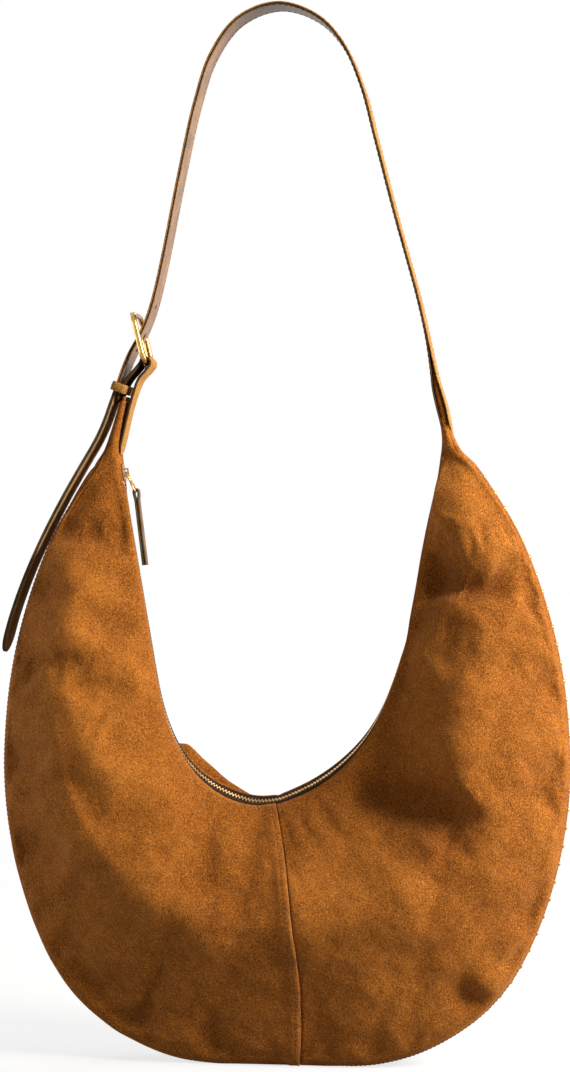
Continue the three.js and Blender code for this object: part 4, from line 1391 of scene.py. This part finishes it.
def add_tab():
    """One strip folded round the buckle's bar: its long end lies beside the neck and its short end outside it."""
    bar, _ = buckle_ends()
    angles = np.radians([-25, 15, 55, 95, 135, 175])
    eye = bar + BAR_EYE * np.stack([np.cos(angles), np.sin(angles)], axis=1)
    inner_leg = [(-21.2, -68.8), (-17.2, -51.8), (-13.4, -35.8), (-9.6, -22.8), (-5.1, -11.8), (1.3, -4.6)]
    outer_leg = [(-8.2, -5.2), (-14.2, -12.2), (-18.2, -19.3), (-22.6, -28.8)]
    line = Line(np.vstack([bar + np.array(inner_leg), eye, bar + np.array(outer_leg)]))
    q = np.linspace(0, line.length, 170)
    u = q / line.length
    half = TAB_HALF * np.minimum(np.minimum(0.35 + u / 0.13, 0.6 + (1 - u) / 0.06), 0.72 + 0.28 * smoothstep(u, 0.3, 0.62))
    sections = ply_sections(line, q, half, 2.0, crown=0.15)
    piece = solid("tab_leather", sections, [edge_paint, strap_suede, edge_paint], ply_slots())
    finished(piece, "neck", "smooth_leather", "buckle_tab")


def add_keeper():
    """A flat leather loop with rounded corners."""
    low, high = (np.array(corner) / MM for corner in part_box("keeper_loop"))
    middle = (low + high)[[0, 2]] / 2
    lean = math.radians(21)
    up = np.array([math.sin(lean), math.cos(lean)])
    aside = np.array([math.cos(lean), -math.sin(lean)])
    path = rounded_loop(high[1] - low[1] - 1.4, 10.0, 2.6, 96)
    outward = np.roll(path, -1, axis=0) - np.roll(path, 1, axis=0)
    outward = np.stack([outward[:, 1], -outward[:, 0]], axis=1)
    outward /= np.linalg.norm(outward, axis=1, keepdims=True)
    loop = [(-3.4, -0.5), (-3.4, 0.5), (-3, 0.75), (0, 0.95), (3, 0.75), (3.4, 0.5), (3.4, -0.5), (3, -0.7), (0, -0.7), (-3, -0.7)]
    sections = []
    for (y, across), (out_y, out_across) in zip(path, outward):
        ring = []
        for rise, out in loop:
            plan = middle + up * rise + aside * (across + out_across * out)
            ring.append((plan[0], y + out_y * out, plan[1]))
        sections.append(ring)
    finished(solid("keeper_band", sections, [keeper_suede], closed=True), "keeper", "suede", "keeper_loop")


def add_buckle():
    bar, far = buckle_ends()
    up = far - bar
    length = np.hypot(*up)
    up /= length
    path = hung_loop((bar + far) / 2, up, 36, length, 8)
    across = (-up[1], 0.0, up[0])
    sections = rod_sections(path, BUCKLE_WIRE, across, closed=True, sides=20)
    finished(solid("buckle_frame_gold", sections, [brass], closed=True), "buckle", "brass", "buckle_frame")

    out = np.array([-up[1], up[0]])
    rest = BUCKLE_WIRE + 1.1 + 0.25
    eye_radius = BUCKLE_WIRE + 1.1 + 0.3
    angle = np.linspace(0, 2 * np.pi, 40, endpoint=False)
    eye = bar + eye_radius * np.stack([np.cos(angle), np.sin(angle)], axis=1)
    eye = np.stack([eye[:, 0], 0 * angle, eye[:, 1]], axis=1)
    shank_plan = Line([bar + up * a + out * b for a, b in
                       ((eye_radius, 0), (10, 0.3), (26, 1.6), (length - 3, rest), (length + 3.4, rest + 0.2))])
    q = np.linspace(0, shank_plan.length, 30)
    plan = shank_plan.point(q)
    shank = np.stack([plan[:, 0], 0 * q, plan[:, 1]], axis=1)
    thick = 1.1 * np.minimum(1, 0.45 + np.sqrt(np.maximum(0, (shank_plan.length - q) / 4)))
    parts = []
    for sections, closed in ((rod_sections(eye, 1.1, closed=True), True), (rod_sections(shank, thick), False)):
        points, faces, _ = loft(sections, closed)
        parts.append((points, faces))
    finished(make_piece("buckle_prong_gold", *gather(parts), [brass]), "prong", "brass", "buckle_prong")


# ---- Stage -----------------------------------------------------------------------------------------------------


def area_light(name, place, target, size, power, color=(1, 1, 1)):
    data = bpy.data.lights.new(name, "AREA")
    data.shape = "DISK"
    data.size = size
    data.energy = power
    data.color = color
    light = bpy.data.objects.new(name, data)
    light.location = place
    light.rotation_mode = "QUATERNION"
    light.rotation_quaternion = (Vector(target) - Vector(place)).to_track_quat("-Z", "Y")
    bpy.context.scene.collection.objects.link(light)


def add_stage():
    bpy.ops.mesh.primitive_plane_add(size=30, location=(0, 0, 0))
    floor = bpy.context.object
    floor.name = "floor"
    finish = Finish("floor_paper")
    paper = finish.noise(300, 2, 0.5)
    # the floor fades into the white of the studio away from the bag
    away = finish.add("ShaderNodeVectorMath", {0: finish.place}, operation="LENGTH").outputs["Value"]
    fade = finish.add("ShaderNodeMapRange", {"Value": away, "From Min": 0.5, "From Max": 2.2}).outputs["Result"]
    color = finish.ramp(paper, (0.3, rgb(124, 124, 124)), (0.7, rgb(130, 130, 130)))
    path = finish.add("ShaderNodeLightPath").outputs
    seen = finish.math("MAXIMUM", path["Is Camera Ray"], path["Is Glossy Ray"])
    finish.surface(
        Base_Color=finish.mix(fade, color, (0, 0, 0, 1)),
        Roughness=0.95,
        Specular_IOR_Level=0.1,
        Emission_Color=(1, 1, 1, 1),
        Emission_Strength=finish.math("MULTIPLY", seen, finish.between(fade, 0.74, 1.0)),
    )
    floor.data.materials.append(finish.material)

    world = bpy.data.worlds.new("studio")
    world.use_nodes = True
    tree = world.node_tree
    path = tree.nodes.new("ShaderNodeLightPath").outputs
    either = tree.nodes.new("ShaderNodeMath")
    either.operation = "MAXIMUM"
    tree.links.new(path["Is Camera Ray"], either.inputs[0])
    tree.links.new(path["Is Glossy Ray"], either.inputs[1])
    seen = either.outputs[0]
    strength = tree.nodes.new("ShaderNodeMapRange")
    strength.inputs["To Min"].default_value = 0.19
    strength.inputs["To Max"].default_value = 1.0
    tree.links.new(seen, strength.inputs["Value"])
    background = tree.nodes["Background"]
    background.inputs["Color"].default_value = (1, 1, 1, 1)
    tree.links.new(strength.outputs["Result"], background.inputs["Strength"])
    bpy.context.scene.world = world
    bpy.context.scene.view_settings.view_transform = "Standard"

    area_light("key", (1.98, -0.78, 1.42), (0, 0, 0.25), 0.9, 99, (1, 0.97, 0.92))
    area_light("card", (-1.7, 0.1, 0.35), (0, 0, 0.25), 1.0, 13)
    area_light("fill", (-1.4, -2.0, 0.9), (0, 0, 0.3), 1.6, 5)
    area_light("right_rim", (1.7, 0.35, 0.5), (0, 0, 0.25), 1.0, 26, (1, 0.97, 0.92))
    area_light("back", (0.6, 1.5, 1.6), (0, 0, 0.4), 1.0, 12)


def add_camera():
    data = bpy.data.cameras.new("camera")
    camera = bpy.data.objects.new("camera", data)
    distance = CAMERA_DISTANCE * MM
    data.sensor_width = 36
    data.lens = 89.55
    data.clip_start = 0.05
    camera.location = (
        distance * math.sin(CAMERA_AZIMUTH), -distance * math.cos(CAMERA_AZIMUTH), CAMERA_HEIGHT * MM
    )  # fmt: skip
    camera.rotation_mode = "QUATERNION"
    look = Vector((0, 0, CAMERA_HEIGHT * MM)) - camera.location
    camera.rotation_quaternion = look.to_track_quat("-Z", "Y")
    bpy.context.scene.collection.objects.link(camera)
    bpy.context.scene.camera = camera


add_panels()
add_centre_stitches()
add_band()
add_inside()
add_necks()
add_zip()
for metal in ("zip_slider", "zip_top_stop_front", "zip_top_stop_back", "zip_bottom_stop"):
    polish_metal(metal)
add_pull()
add_puller()
add_strap()
add_tab()
add_keeper()
add_buckle()
add_stage()
add_camera()
